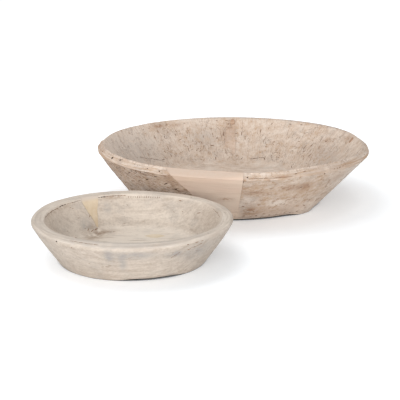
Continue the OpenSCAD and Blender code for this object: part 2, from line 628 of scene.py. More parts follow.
    def finish(self, colour: Any, rough: Any, height: Any, relief: float, gloss: float,
               metal: float = 0.0) -> Finish:
        """Close the material with its surface shader.

        Args:
            colour: Base colour.
            rough: Roughness.
            height: Height of the fine relief, from 0 to 1.
            relief: Depth of the fine relief.
            gloss: Specular level.
            metal: Share of metal.

        Returns:
            The finished material.
        """
        bump = self.add("ShaderNodeBump", {"Strength": 1.0, "Distance": relief, "Height": height})
        inputs = {"Base Color": colour, "Roughness": rough, "Normal": bump.outputs["Normal"],
                  "Specular IOR Level": gloss, "Metallic": metal}
        shader = self.add("ShaderNodeBsdfPrincipled", inputs)
        self.add("ShaderNodeOutputMaterial", {"Surface": shader.outputs["BSDF"]})
        return self.owner


@dataclass(frozen=True)
class WashedWood:
    """Old wood with its grain along X, whitewashed and worn.

    Attributes:
        bare: Colour of the bare wood.
        wash: Colour of the whitewash.
        dark: Colour of grime in tears and pores.
        stain: Colour of brown stains.
        grey: Colour of grey patches of weather, and of painted shade where the grey zone lies along the rim.
        planed: Colour of planed ground.
        cover: Share of whitewash where nothing else changes it.
        inside_cover: What the inside adds to that share.
        rim_cover: What the rim adds to that share.
        wear: Shares of broad, middle, grain and fine wear in the whitewash.
        grain_lines: Strength of the dark lines along the grain.
        strokes: Strength of the tool strokes inside.
        flecks: Strength of the brown flecks outside.
        clouds: Strength of the grey clouds.
        specks: Strength of the dark specks.
        torn: Strength of the torn fibres inside.
        rim_lines: Strength of the lines along the rim.
        relief: Depth of the fine relief.
    """

    bare: Colour
    wash: Colour
    dark: Colour
    stain: Colour
    grey: Colour
    planed: Colour
    cover: float
    inside_cover: float
    rim_cover: float
    wear: tuple[float, float, float, float]
    grain_lines: float
    strokes: float
    flecks: float
    clouds: float
    specks: float
    torn: float
    rim_lines: float
    relief: float

    def make(self, name: str, centre: Vector, radius: float) -> Finish:
        """Make the material.

        Args:
            name: Name of the material.
            centre: Middle of the bowl's foot.
            radius: Radius at which lengths round the bowl are true.

        Returns:
            The material.
        """
        bench = NodeBench.for_finish(name)
        spot = bench.spot(centre)
        around = bench.around(spot, radius)
        inside = bench.zone(Zone.INSIDE)
        outside = bench.sum("SUBTRACT", 1.0, inside)
        ground = bench.zone(Zone.GROUND)
        wall = bench.sum("SUBTRACT", inside, ground)
        rim = bench.zone(Zone.RIM)
        soil = bench.zone(Zone.SOIL)
        swirl = bench.zone(Zone.RING)

        blotch = bench.noise(spot, (0.07, 0.05, 0.04), 3.0, 0.55)
        cloud = bench.noise(bench.spot(centre + Vector((0.31, 0.17, 0.05))), (0.05, 0.035, 0.03), 4.0, 0.6)
        mottle = bench.noise(spot, (0.015, 0.012, 0.012), 4.0, 0.62)
        fleck = bench.noise(bench.spot(centre + Vector((0.13, 0.41, 0.2))), (0.013, 0.012, 0.011), 5.0, 0.68)
        fine = bench.noise(spot, (0.0042, 0.0034, 0.0034), 3.0, 0.65)
        grain = bench.noise(spot, (0.085, 0.007, 0.007), 4.0, 0.6, 0.35)
        hair = bench.noise(spot, (0.03, 0.0022, 0.0022), 2.0, 0.5)
        stroke = bench.noise(around, (0.0034, 0.0034, 0.028), 3.0, 0.6, 0.2)
        scrape = bench.noise(around, (0.014, 0.014, 0.003), 4.0, 0.68, 0.6)
        gash = bench.noise(bench.slanted(spot, -148, 26), (0.022, 0.02, 0.0022), 3.0, 0.6, 0.5)
        line = bench.noise(bench.around(spot, radius, by_reach=True), (0.07, 0.07, 0.0032), 3.0, 0.55)
        tear = bench.noise(around, (0.013, 0.013, 0.019), 3.0, 0.6, 0.9)

        # Share of whitewash left on the wood
        cover = bench.plus(self.cover, inside, self.inside_cover)
        cover = bench.plus(cover, rim, self.rim_cover)
        calm = bench.plus(1.0, rim, -0.7)
        for layer, weight in zip((blotch, mottle, grain, fine), self.wear):
            cover = bench.plus(cover, bench.times(bench.swing(layer), weight), calm)
        for layer, place, weight in ((stroke, wall, 1.6 * self.strokes), (line, rim, 2.6 * self.rim_lines)):
            cover = bench.plus(cover, bench.times(bench.swing(layer), place), weight)
        # The pale zone adds whitewash; where it is laid on walls that get less light it is painted light
        cover = bench.sum("ADD", cover, bench.zone(Zone.PALE))
        washed = bench.mix(bench.step(cover, 0.0, 1.0), self.bare, self.wash)

        # Grey clouds, the grey zone of weather and painted shade, brown flecks and stains
        grey_wear_and_shade = bench.times(bench.zone(Zone.GREY), bench.step(mottle, 0.2, 0.6))
        grey = bench.sum("MAXIMUM", bench.times(bench.step(cloud, 0.48, 0.68), self.clouds), grey_wear_and_shade)
        flecked = bench.times(bench.step(fleck, 0.54, 0.66, self.flecks), bench.times(outside, calm))
        stained = bench.times(bench.zone(Zone.STAIN), bench.step(mottle, 0.32, 0.56))

        # Lines along the grain, strongest on the floor, tool strokes and rings round buried knots
        lined = bench.times(bench.step(grain, 0.56, 0.72, self.grain_lines), bench.plus(1.0, ground, 2.0))
        scored = bench.times(bench.step(stroke, 0.56, 0.72, self.strokes), wall)
        wave = bench.sum("SINE", bench.plus(bench.times(swirl, 34.0), mottle, 14.0), 0.0)
        ringed = bench.times(bench.step(wave, 0.0, 1.0), bench.step(swirl, 1.0, 0.5, 0.25))

        # Planed ground under the patch, grime in pores and a net of torn fibres
        planed = bench.mix(bench.step(grain, 0.5, 0.75, 0.5), self.planed, self.stain)
        pores = bench.times(bench.step(fine, 0.57, 0.7, self.specks), bench.step(blotch, 0.3, 0.6))
        off = bench.sum("ABSOLUTE", bench.swing(tear), 0.0)
        net = bench.times(bench.step(off, 0.02, 0.004, self.torn), bench.step(cloud, 0.42, 0.56))

        colour = bench.coat(washed, (
            (grey, self.grey),
            (bench.sum("MAXIMUM", flecked, stained), self.stain),
            (lined, self.stain),
            (bench.step(hair, 0.6, 0.8, 0.6 * self.grain_lines), self.stain),
            (scored, self.stain),
            (ringed, self.stain),
            (bench.zone(Zone.PLANED), planed),
            (bench.times(soil, 0.12), self.stain),
            (bench.times(soil, bench.step(scrape, 0.54, 0.64, 0.6)), self.dark),
            (bench.times(soil, bench.step(gash, 0.55, 0.62, 0.75)), self.dark),
            (pores, self.dark),
            (bench.times(net, wall), self.dark),
        ))
        height = bench.times(hair, 0.3)
        for layer, weight in (
            (fine, 0.35), (mottle, 0.5), (bench.times(scrape, soil), 1.4), (bench.times(stroke, wall), 0.6),
            (bench.times(line, rim), 0.8),
        ):
            height = bench.plus(height, layer, weight)
        return bench.finish(colour, bench.plus(0.66, mottle, 0.25), height, self.relief, 0.25)


@dataclass(frozen=True)
class PlanedWood:
    """Smooth wood with faint streaks along X.

    Attributes:
        pale: Colour between the streaks.
        streak: Colour of the streaks.
        pink: Colour of broad warm patches.
        rim: Darker colour of the rim's top, painted shade that tones down the light on it.
        light: Colour of pale patches, painted light where the pale zone lies low on the patch.
        stain: Colour of brown stains.
        relief: Depth of the fine relief.
    """

    pale: Colour
    streak: Colour
    pink: Colour
    rim: Colour
    light: Colour
    stain: Colour
    relief: float

    def make(self, name: str, centre: Vector) -> Finish:
        """Make the material.

        Args:
            name: Name of the material.
            centre: Point that the pattern is centred on.

        Returns:
            The material.
        """
        bench = NodeBench.for_finish(name)
        spot = bench.spot(centre)
        broad = bench.noise(spot, (0.09, 0.05, 0.03), 2.0)
        grain = bench.noise(spot, (0.11, 0.012, 0.0065), 4.0, 0.6, 0.3)
        hair = bench.noise(spot, (0.025, 0.0016, 0.0016), 2.0)
        fine = bench.noise(spot, (0.006, 0.004, 0.004), 3.0, 0.6)
        colour = bench.coat(bench.mix(bench.step(broad, 0.3, 0.7), self.pale, self.pink), (
            (bench.step(grain, 0.45, 0.75, 0.6), self.streak),
            (bench.step(hair, 0.6, 0.8, 0.35), self.streak),
            # Painted shade: the rim's top takes a darker colour to tone down the light on it
            (bench.zone(Zone.RIM), bench.mix(bench.step(fine, 0.42, 0.7, 0.45), self.rim, self.streak)),
            # Painted light: the pale zone lightens the patch low down
            (bench.times(bench.zone(Zone.PALE), 0.6), self.light),
            (bench.times(bench.zone(Zone.STAIN), bench.step(fine, 0.35, 0.6)), self.stain),
        ))
        height = bench.plus(fine, hair, 0.5)
        return bench.finish(colour, bench.plus(0.62, fine, 0.2), height, self.relief, 0.3)


@dataclass(frozen=True)
class Putty:
    """Sanded filler with faint clouds and specks.

    Attributes:
        body: Colour of most of it.
        cloud: Colour of its clouds.
        speck: Colour of its specks.
        rim: Colour where it is rubbed with the rim.
    """

    body: Colour
    cloud: Colour
    speck: Colour
    rim: Colour

    def make(self, name: str) -> Finish:
        """Make the material and return it."""
        bench = NodeBench.for_finish(name)
        spot = bench.spot((0, 0, 0))
        cloud = bench.noise(spot, (0.016, 0.016, 0.022), 4.0, 0.6)
        fine = bench.noise(spot, (0.003, 0.003, 0.003), 3.0, 0.6)
        colour = bench.coat(bench.mix(bench.step(cloud, 0.35, 0.7), self.body, self.cloud), (
            (bench.zone(Zone.RIM), self.rim),
            (bench.step(fine, 0.62, 0.78, 0.5), self.speck),
        ))
        return bench.finish(colour, bench.plus(0.65, cloud, 0.2), fine, 0.25 * MM, 0.25)


@dataclass(frozen=True)
class RawCut:
    """Dark wood in tears, seams and holes.

    Attributes:
        deep: Darkest colour.
        edge: Lighter colour of its fibres.
    """

    deep: Colour
    edge: Colour

    def make(self, name: str) -> Finish:
        """Make the material and return it."""
        bench = NodeBench.for_finish(name)
        spot = bench.spot((0, 0, 0))
        fibre = bench.noise(spot, (0.02, 0.0025, 0.0025), 4.0, 0.6)
        colour = bench.mix(bench.step(fibre, 0.35, 0.7), self.deep, self.edge)
        return bench.finish(colour, 0.9, fibre, 0.5 * MM, 0.15)


@dataclass(frozen=True)
class KnotWood:
    """Brown knot with rings and a dark edge.

    Attributes:
        heart: Colour of the middle.
        ring: Colour of its rings.
        edge: Colour of its edge.
    """

    heart: Colour
    ring: Colour
    edge: Colour

    def make(self, name: str) -> Finish:
        """Make the material and return it."""
        bench = NodeBench.for_finish(name)
        spot = bench.spot((0, 0, 0))
        fibre = bench.noise(spot, (0.004, 0.004, 0.004), 4.0, 0.65)
        ring = bench.plus(bench.zone(Zone.RING), bench.swing(fibre), 0.35)
        wave = bench.sum("SINE", bench.times(ring, 22.0), 0.0)
        colour = bench.mix(bench.step(wave, -0.6, 0.9, 0.7), self.heart, self.ring)
        colour = bench.mix(bench.step(ring, 0.72, 1.0), colour, self.edge)
        return bench.finish(colour, bench.plus(0.6, fibre, 0.2), wave, 0.2 * MM, 0.3)


@dataclass(frozen=True)
class OldIron:
    """Forged iron, dark with rust in its pits.

    Attributes:
        iron: Colour of the metal.
        rust: Colour of the rust.
    """

    iron: Colour
    rust: Colour

    def make(self, name: str) -> Finish:
        """Make the material and return it."""
        bench = NodeBench.for_finish(name)
        spot = bench.spot((0, 0, 0))
        pits = bench.noise(spot, (0.0012, 0.0012, 0.0012), 4.0, 0.65)
        colour = bench.mix(bench.step(pits, 0.42, 0.62), self.iron, self.rust)
        return bench.finish(colour, bench.plus(0.45, pits, 0.4), pits, 0.2 * MM, 0.4, metal=0.6)


LARGE_WOOD = WashedWood(
    bare=srgb(182, 153, 127), wash=srgb(219, 205, 192), dark=srgb(116, 87, 66), stain=srgb(158, 124, 98),
    grey=srgb(168, 158, 150), planed=srgb(222, 201, 182), cover=0.43, inside_cover=0.21, rim_cover=-0.05,
    wear=(0.8, 1.25, 0.25, 1.2), grain_lines=0.2, strokes=0.6, flecks=0.65, clouds=0.28, specks=0.5,
    torn=0.6, rim_lines=0.85, relief=0.9 * MM,
)
FILL_WOOD = replace(
    LARGE_WOOD, bare=srgb(182, 151, 127), wash=srgb(211, 192, 176), specks=0.3, torn=0.25, strokes=0.25,
)
SMALL_WOOD = WashedWood(
    bare=srgb(172, 157, 143), wash=srgb(222, 211, 198), dark=srgb(118, 100, 86), stain=srgb(160, 141, 124),
    grey=srgb(152, 148, 145), planed=srgb(205, 190, 174), cover=0.37, inside_cover=0.06, rim_cover=0.14,
    wear=(0.35, 0.25, 1.0, 0.7), grain_lines=0.36, strokes=0.08, flecks=0.15, clouds=0.22, specks=0.18,
    torn=0.15, rim_lines=0.4, relief=0.5 * MM,
)
# Its rim colour is painted shade on the rim's top
PATCH_WOOD = PlanedWood(
    pale=srgb(209, 188, 170), streak=srgb(192, 167, 147), pink=srgb(209, 185, 167), rim=srgb(192, 173, 158),
    light=srgb(232, 216, 199), stain=srgb(160, 124, 98), relief=0.25 * MM,
)
SMALL_PUTTY = Putty(
    body=srgb(205, 188, 164), cloud=srgb(196, 176, 150), speck=srgb(176, 152, 128), rim=srgb(198, 185, 172),
)
CHECK_PUTTY = replace(SMALL_PUTTY, body=srgb(218, 203, 181), cloud=srgb(211, 194, 168))
KNOT_WOOD = KnotWood(heart=srgb(194, 166, 143), ring=srgb(182, 150, 126), edge=srgb(170, 138, 115))
TORN_WOOD = RawCut(deep=srgb(120, 94, 76), edge=srgb(164, 135, 113))
# Holes are near black: partly grime, partly painted shade in the hollows
HOLE_GRIME_AND_SHADE = RawCut(deep=srgb(56, 42, 33), edge=srgb(88, 68, 54))
NAIL_IRON = OldIron(iron=srgb(62, 54, 50), rust=srgb(104, 70, 50))


class Bench:
    """Tools that act on whole objects: a place to put them, boolean cuts and smooth shading."""

    @staticmethod
    def place(name: str, shape: bmesh.types.BMesh) -> Item:
        """Turn a bmesh into an object of the scene.

        Args:
            name: Name of the object.
            shape: Mesh to use, which is freed.

        Returns:
            The new object.
        """
        mesh = bpy.data.meshes.new(name)
        shape.to_mesh(mesh)
        shape.free()
        item = bpy.data.objects.new(name, mesh)
        bpy.context.scene.collection.objects.link(item)
        return item

    @staticmethod
    def twin(item: Item, name: str) -> Item:
        """Copy an object with its mesh under a new name."""
        copy = bpy.data.objects.new(name, item.data.copy())
        bpy.context.scene.collection.objects.link(copy)
        return copy

    @staticmethod
    def search_tree(item: Item) -> BVHTree:
        """Search tree of an object's surface."""
        return BVHTree.FromObject(item, bpy.context.evaluated_depsgraph_get())

    @staticmethod
    def discard(item: Item) -> None:
        """Remove a tool object and its mesh."""
        mesh = item.data
        bpy.data.objects.remove(item)
        bpy.data.meshes.remove(mesh)

    @staticmethod
    def cut(item: Item, tool: Item, operation: str) -> None:
        """Apply a boolean of a tool to an object.

        Args:
            item: Object to change.
            tool: Closed tool.
            operation: DIFFERENCE or INTERSECT.
        """
        boolean = item.modifiers.new("cut", "BOOLEAN")
        boolean.object = tool
        boolean.operation = operation
        boolean.solver = "MANIFOLD"
        boolean.material_mode = "INDEX"
        graph = bpy.context.evaluated_depsgraph_get()
        shaped = bpy.data.meshes.new_from_object(item.evaluated_get(graph))
        item.modifiers.clear()
        old = item.data
        item.data = shaped
        bpy.data.meshes.remove(old)
        shaped.name = item.name

    @staticmethod
    def set_finishes(item: Item, finishes: Sequence[Finish]) -> None:
        """Give an object its materials, in the order of its slots."""
        item.data.materials.clear()
        for finish in finishes:
            item.data.materials.append(finish)

    @staticmethod
    def use_slot(item: Item, slot: Slot) -> None:
        """Put every face of an object in one slot."""
        item.data.polygons.foreach_set("material_index", [slot.value] * len(item.data.polygons))

    @staticmethod
    def soften(item: Item, sharp: float = 38.0) -> None:
        """Shade an object smooth, with edges left sharp past an angle in degrees."""
        item.data.shade_smooth()
        item.data.set_sharp_from_angle(angle=math.radians(sharp))


class CutterTray:
    """Collects small closed cutters in one mesh."""

    def __init__(self) -> None:
        """Start with no cutters."""
        self.shape = bmesh.new()

    def nick(self, at: Vector, along: Vector, out: Vector, size: Triple, slot: Slot) -> None:
        """Add a spindle that is half sunk in a surface.

        Args:
            at: Point on the surface.
            along: Direction of its long side.
            out: Outward normal of the surface.
            size: Length, breadth and depth of the mark that it cuts.
            slot: Finish of the wood that it bares.
        """
        level = (along - along.dot(out) * out).normalized()
        side = out.cross(level)
        length, breadth, depth = size
        turned = Matrix((level * length / 2, side * breadth / 2, out * depth)).transposed().to_4x4()
        matrix = Matrix.Translation(at) @ turned
        made = bmesh.ops.create_icosphere(self.shape, subdivisions=1, radius=1.0, matrix=matrix)
        for face in {face for vert in made["verts"] for face in vert.link_faces}:
            face.material_index = slot.value

    def object(self, name: str) -> Item:
        """Turn the collected cutters into an object."""
        bmesh.ops.recalc_face_normals(self.shape, faces=self.shape.faces)
        return Bench.place(name, self.shape)


@dataclass
class CarvedBowl:
    """A bowl that is turned, carved, cut and dressed.

    Attributes:
        shape: Section of the bowl.
        centre: Middle of its foot.
        body: Body of the frame that its pieces ride on.
        seed: Seed of its noise and of its strewn marks.
        spin_steps: Steps of the turned shell in an eighth of a turn.
        rim_reach: Depth below the rim's true face down to which the rim's look holds.
        marks: Marks placed one by one.
        strews: Marks strewn by chance.
        cracks: Cracks placed one by one.
        tints: Soft spots of its finish.
        swirls: Rings of its grain.
        seam: Open seam round a let-in piece.
    """

    shape: BowlShape
    centre: Vector
    body: str
    seed: int
    spin_steps: int
    rim_reach: float
    marks: list[Mark] = field(default_factory=list)
    strews: list[Strew] = field(default_factory=list)
    cracks: list[Crack] = field(default_factory=list)
    tints: list[Tint] = field(default_factory=list)
    swirls: list[Swirl] = field(default_factory=list)
    seam: float = 0.3 * MM

    def __post_init__(self) -> None:
        """Set up the noise and the chance draws."""
        self.noise = ToolNoise(self.seed)
        self.chance = np.random.default_rng(self.seed)

    def mark(self, face: Face, *rows: Sequence[float], slot: Slot = Slot.TORN) -> None:
        """Place marks on one surface.

        Args:
            face: Surface that they lie on.
            rows: Bearing, level, length, breadth, depth and tilt of each, in degrees and millimetres.
            slot: Finish of the wood that they bare.
        """
        for bearing, level, length, breadth, depth, tilt in rows:
            size = (length * MM, breadth * MM, depth * MM)
            self.marks.append(Mark(face, bearing, level * MM, *size, tilt, slot))

    def crack(self, face: Face, *rows: Sequence[float], slot: Slot = Slot.TORN) -> None:
        """Place cracks on one surface.

        Args:
            face: Surface that they lie on.
            rows: Bearing and level of one end and of the other, number of tears, breadth, depth and
                wander of each, in degrees and millimetres.
            slot: Finish of the wood that they bare.
        """
        for start, low, end, high, tears, breadth, depth, wander in rows:
            ends = ((start, low * MM), (end, high * MM))
            self.cracks.append(Crack(face, *ends, tears, breadth * MM, depth * MM, wander * MM, slot))

    def tint(self, zone: Zone, face: Face, *rows: Sequence[float]) -> None:
        """Place soft spots by bearing, level, reach along the round, reach in level and amount."""
        for bearing, level, along, up, amount in rows:
            self.tints.append(Tint(zone, face, bearing, level * MM, along * MM, up * MM, amount))

    def turned(self, name: str) -> Item:
        """Turn the section into a closed shell.

        Args:
            name: Name of the object.

        Returns:
            The shell, standing at the bowl's place.
        """
        shell = bmesh.new()
        line = [shell.verts.new((point.x, 0, point.y)) for point in self.shape.section()]
        edges = [shell.edges.new(pair) for pair in zip(line, line[1:])]
        bmesh.ops.spin(shell, geom=line + edges, cent=(0, 0, 0), axis=(0, 0, 1), angle=math.tau / 8,
                       steps=self.spin_steps)
        for share in (8, 4, 2):
            copied = bmesh.ops.duplicate(shell, geom=shell.verts[:] + shell.edges[:] + shell.faces[:])
            moved = [part for part in copied["geom"] if isinstance(part, bmesh.types.BMVert)]
            turn = Matrix.Rotation(math.tau / share, 3, "Z")
            bmesh.ops.rotate(shell, verts=moved, cent=(0, 0, 0), matrix=turn)
        bmesh.ops.remove_doubles(shell, verts=shell.verts, dist=WELD)
        bmesh.ops.recalc_face_normals(shell, faces=shell.faces)
        bmesh.ops.translate(shell, verts=shell.verts, vec=self.centre)
        return Bench.place(name, shell)

    def carve(self, mesh: bpy.types.Mesh, tooled: float) -> None:
        """Move the vertices of a turned shell as the tools would.

        Args:
            mesh: Mesh of the shell.
            tooled: Share of the tool marks, from 0 for planed wood to 1.
        """
        spots = Spots.read(mesh, self.centre)
        depth = self.tool_depth(spots, tooled)
        moved = spots.place - spots.normal * depth[:, None]
        moved = self.bend(moved)
        moved[:, 2] = np.maximum(moved[:, 2], 0.0)
        mesh.vertices.foreach_set("co", (moved + np.array(self.centre)).ravel())
        mesh.update()

    def tool_depth(self, spots: Spots, tooled: float) -> np.ndarray:
        """Depth that the tools take off at each vertex; each bowl has its own."""
        raise NotImplementedError

    def bend(self, place: np.ndarray) -> np.ndarray:
        """Bring the true round to the bowl's own uneven form; each bowl has its own."""
        raise NotImplementedError

    def seat(self, tree: BVHTree, face: Face, bearing: float, level: float) -> tuple[Vector, Vector, Vector]:
        """Find a place on a surface of the carved shell.

        Args:
            tree: Search tree of the shell.
            face: Surface to look on.
            bearing: Degrees anticlockwise from +X.
            level: Height on a wall, radius on the rim or the floor.

        Returns:
            The point, its outward normal and the direction along the bowl's round, or along the grain
            on the floor.
        """
        angle = math.radians(bearing)
        heading = Vector((math.cos(angle), math.sin(angle), 0))
        along = Vector((-math.sin(angle), math.cos(angle), 0))
        if face is Face.INSIDE:
            start, look = Vector((0, 0, level)), heading
        elif face is Face.OUTSIDE:
            start, look = heading + Vector((0, 0, level)), -heading
        else:
            start, look = heading * level + Vector((0, 0, 1)), Vector((0, 0, -1))
        point, normal, _, _ = tree.ray_cast(self.centre + start, look)
        if face is Face.FLOOR:
            along = Vector((1, 0, 0))
        return point, normal, along

    def tray(self, shell: Item) -> CutterTray:
        """Collect the cutters of all marks and cracks.

        Args:
            shell: Carved shell that the marks lie on.

        Returns:
            The tray of cutters.
        """
        tree = Bench.search_tree(shell)
        tray = CutterTray()
        strewn = [mark for strew in self.strews for mark in self.strewn(strew)]
        for mark in [*self.marks, *strewn]:
            self.add_mark(tray, tree, mark)
        for crack in self.cracks:
            self.add_crack(tray, tree, crack)
        return tray

    def add_mark(self, tray: CutterTray, tree: BVHTree, mark: Mark) -> None:
        """Add the cutter of one mark to a tray.

        Args:
            tray: Tray that takes the cutters.
            tree: Search tree of the carved shell.
            mark: The mark to cut.
        """
        point, normal, along = self.seat(tree, mark.face, mark.bearing, mark.level)
        if point is None:
            LOG.warning("no surface under a mark at bearing %.0f", mark.bearing)
            return
        turned = Matrix.Rotation(math.radians(mark.tilt), 3, normal) @ along
        tray.nick(point, turned, normal, (mark.length, mark.breadth, mark.depth), mark.slot)

    def add_crack(self, tray: CutterTray, tree: BVHTree, crack: Crack) -> None:
        """Add the short tears of one crack to a tray.

        Args:
            tray: Tray that takes the cutters.
            tree: Search tree of the carved shell.
            crack: The crack to cut.
        """
        shares = np.linspace(0.0, 1.0, crack.tears + 1)
        stray = self.chance.uniform(-1.0, 1.0, crack.tears + 1) * crack.wander
        bearings = crack.start[0] + (crack.end[0] - crack.start[0]) * shares
        levels = crack.start[1] + (crack.end[1] - crack.start[1]) * shares + stray
        seats = [self.seat(tree, crack.face, bearing, level) for bearing, level in zip(bearings, levels)]
        for (here, normal, _), (there, _, _) in zip(seats, seats[1:]):
            if here is None or there is None:
                LOG.warning("no surface under a crack from bearing %.0f", crack.start[0])
                continue
            step = there - here
            size = (step.length * 1.4, crack.breadth * self.chance.uniform(0.7, 1.3), crack.depth)
            tray.nick((here + there) / 2, step.normalized(), normal, size, crack.slot)

    def strewn(self, strew: Strew) -> Iterator[Mark]:
        """Draw the marks of one strew."""
        def pick(span: Span | float) -> float:
            """Draw from a span, or take the one value."""
            return self.chance.uniform(*span) if isinstance(span, tuple) else span

        for _ in range(strew.count):
            factor = pick(strew.factor)
            bearing = pick(strew.bearings)
            level = pick(strew.levels) * MM
            size = [pick(span) * factor * MM for span in (strew.lengths, strew.breadths, strew.depths)]
            yield Mark(strew.face, bearing, level, *size, self.chance.normal(*strew.tilts))

    def outer_share(self, r: np.ndarray, z: np.ndarray) -> np.ndarray:
        """Climb from 0 at the inner side of the wall to 1 at its outer side, at radii and heights."""
        wall = self.shape.outer_r(0) - self.shape.inner_r(0)
        return rise(0.3, 0.8, (r - self.shape.inner_r(z)) / wall)

    def weights(self, spots: Spots) -> dict[Zone, np.ndarray]:
        """Shares of the inside, the rim and the tints at each vertex.

        Args:
            spots: Vertices of a finished piece.

        Returns:
            A share for each zone.
        """
        shape = self.shape
        through = (spots.r - shape.inner_r(spots.z)) / (shape.outer_r(spots.z) - shape.inner_r(spots.z))
        inside = rise(0.75, 0.35, through) * rise(0.3 * shape.floor_t, 0.7 * shape.floor_t, spots.z)
        below = shape.rim_z(spots.r) - spots.z
        rim = rise(self.rim_reach, self.rim_reach - 3.5 * MM, below) * rise(0.1, 0.3, through)
        rim = np.maximum(rim, rise(5 * MM, 1.5 * MM, below))
        shares = {zone: np.zeros(len(spots.r)) for zone in Zone}
        shares[Zone.INSIDE] = inside
        shares[Zone.RIM] = rim
        floor = inside * rise(shape.floor_t + 12 * MM, shape.floor_t + 4 * MM, spots.z)
        shares[Zone.GROUND] = floor
        outside = (1 - inside) * (1 - rim)
        faces = {Face.INSIDE: inside * (1 - floor), Face.OUTSIDE: outside, Face.RIM: rim, Face.FLOOR: floor}
        for tint in self.tints:
            flat = tint.face in (Face.RIM, Face.FLOOR)
            level = spots.r if flat else spots.z
            arc = np.radians(turn_gap(spots.bearing, tint.bearing)) * spots.r
            reach = (arc / tint.along) ** 2 + ((level - tint.level) / tint.up) ** 2
            shares[tint.zone] += faces[tint.face] * tint.amount * np.exp(-reach)
        shares[Zone.RING] += 1.0
        for swirl in self.swirls:
            arc = np.radians(turn_gap(spots.bearing, swirl.bearing)) * spots.r
            away = np.hypot(arc / swirl.along, (spots.z - swirl.level) / swirl.up)
            shares[Zone.RING] = np.minimum(shares[Zone.RING], np.where(inside > 0.5, away, 1.0))
        return shares

    def note_zones(self, item: Item) -> None:
        """Write the zones' shares to the attributes of a piece's mesh."""
        for zone, share in self.weights(Spots.read(item.data, self.centre)).items():
            layer = item.data.attributes.new(zone.value, "FLOAT", "POINT")
            layer.data.foreach_set("value", np.clip(share, 0.0, 1.0).astype(np.float32))

    def start(self, word: str, wood: WashedWood, *let_in: str) -> tuple[list[Finish], list[Item]]:
        """Make the carved body, and a planed twin of it for each piece that is let in.

        Args:
            word: Word that the names of the body and its finishes start with.
            wood: Finish of the body.
            let_in: Names of the let-in pieces.

        Returns:
            The finishes in the order of the slots, and the body with the twins.
        """
        finishes = [wood.make(f"{word}_washed_wood", self.centre, self.shape.rim_r),
                    TORN_WOOD.make(f"{word}_torn_wood"), HOLE_GRIME_AND_SHADE.make(f"{word}_hole_grime_and_shade")]
        body = self.turned(f"{word}_bowl_carved")
        planed = Bench.twin(body, f"{word}_bowl_planed")
        self.carve(body.data, 1.0)
        self.carve(planed.data, 0.0)
        items = [body, *(Bench.twin(planed, name) for name in let_in)]
        Bench.discard(planed)
        for item in items:
            Bench.set_finishes(item, finishes)
        return finishes, items

    def wall_wedge(self, corners: Sequence[Span], waver: float) -> bmesh.types.BMesh:
        """Prism through the front wall of a bowl that stands at the origin.

        Args:
            corners: Its outline, as places across the front and heights.
            waver: How far its sides stray from straight.

        Returns:
            The prism.
        """
        shape = self.shape
        reach = float(shape.inner_r(shape.floor_t)) - 2 * shape.cove_r
        outline = [Vector((x, -reach, z)) for x, z in corners]
        away = Vector((0, reach - shape.rim_r - OVERSHOOT, 0))
        return prism(outline, away, waver, self.noise)

    @staticmethod
    def let_in(item: Item, tool: Item) -> None:
        """Keep only the part of a planed shell that lies in a let-in piece's tool, which is used up."""
        Bench.use_slot(tool, Slot.WOOD)
        Bench.cut(item, tool, "INTERSECT")
        Bench.discard(tool)

    def hand_over(self, item: Item, node: str, slot: str) -> None:
        """Let a finished piece stand for a node of the frame.

        Args:
            item: Finished piece.
            node: Node that it stands for.
            slot: Name of the piece's material slot; not used.
        """
        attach(item, self.body)
        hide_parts(node)
        LOG.info("%s stands for %s, %d faces", item.name, node, len(item.data.polygons))


def prism(outline: Sequence[Vector], reach: Vector, waver: float, noise: ToolNoise) -> bmesh.types.BMesh:
    """Closed prism over an outline, with its sides a little uneven.

    Args:
        outline: Corners of the outline, in order.
        reach: Vector from the outline to the prism's other end.
        waver: How far the sides stray from straight.
        noise: Noise that moves them.

    Returns:
        The prism.
    """
    shape = bmesh.new()
    face = shape.faces.new([shape.verts.new(point) for point in outline])
    if waver > 0:
        bmesh.ops.subdivide_edges(shape, edges=face.edges[:], cuts=5)
        for vert in shape.verts:
            spot = np.array([vert.co]) * 70.0
            shift = Vector((noise.smooth(spot)[0], 0, noise.smooth(spot + 31.0)[0])) * waver
            vert.co += shift
    grown = bmesh.ops.extrude_face_region(shape, geom=shape.faces[:])
    moved = [part for part in grown["geom"] if isinstance(part, bmesh.types.BMVert)]
    bmesh.ops.translate(shape, verts=moved, vec=reach)
    bmesh.ops.triangulate(shape, faces=shape.faces)
    bmesh.ops.recalc_face_normals(shape, faces=shape.faces)
    return shape


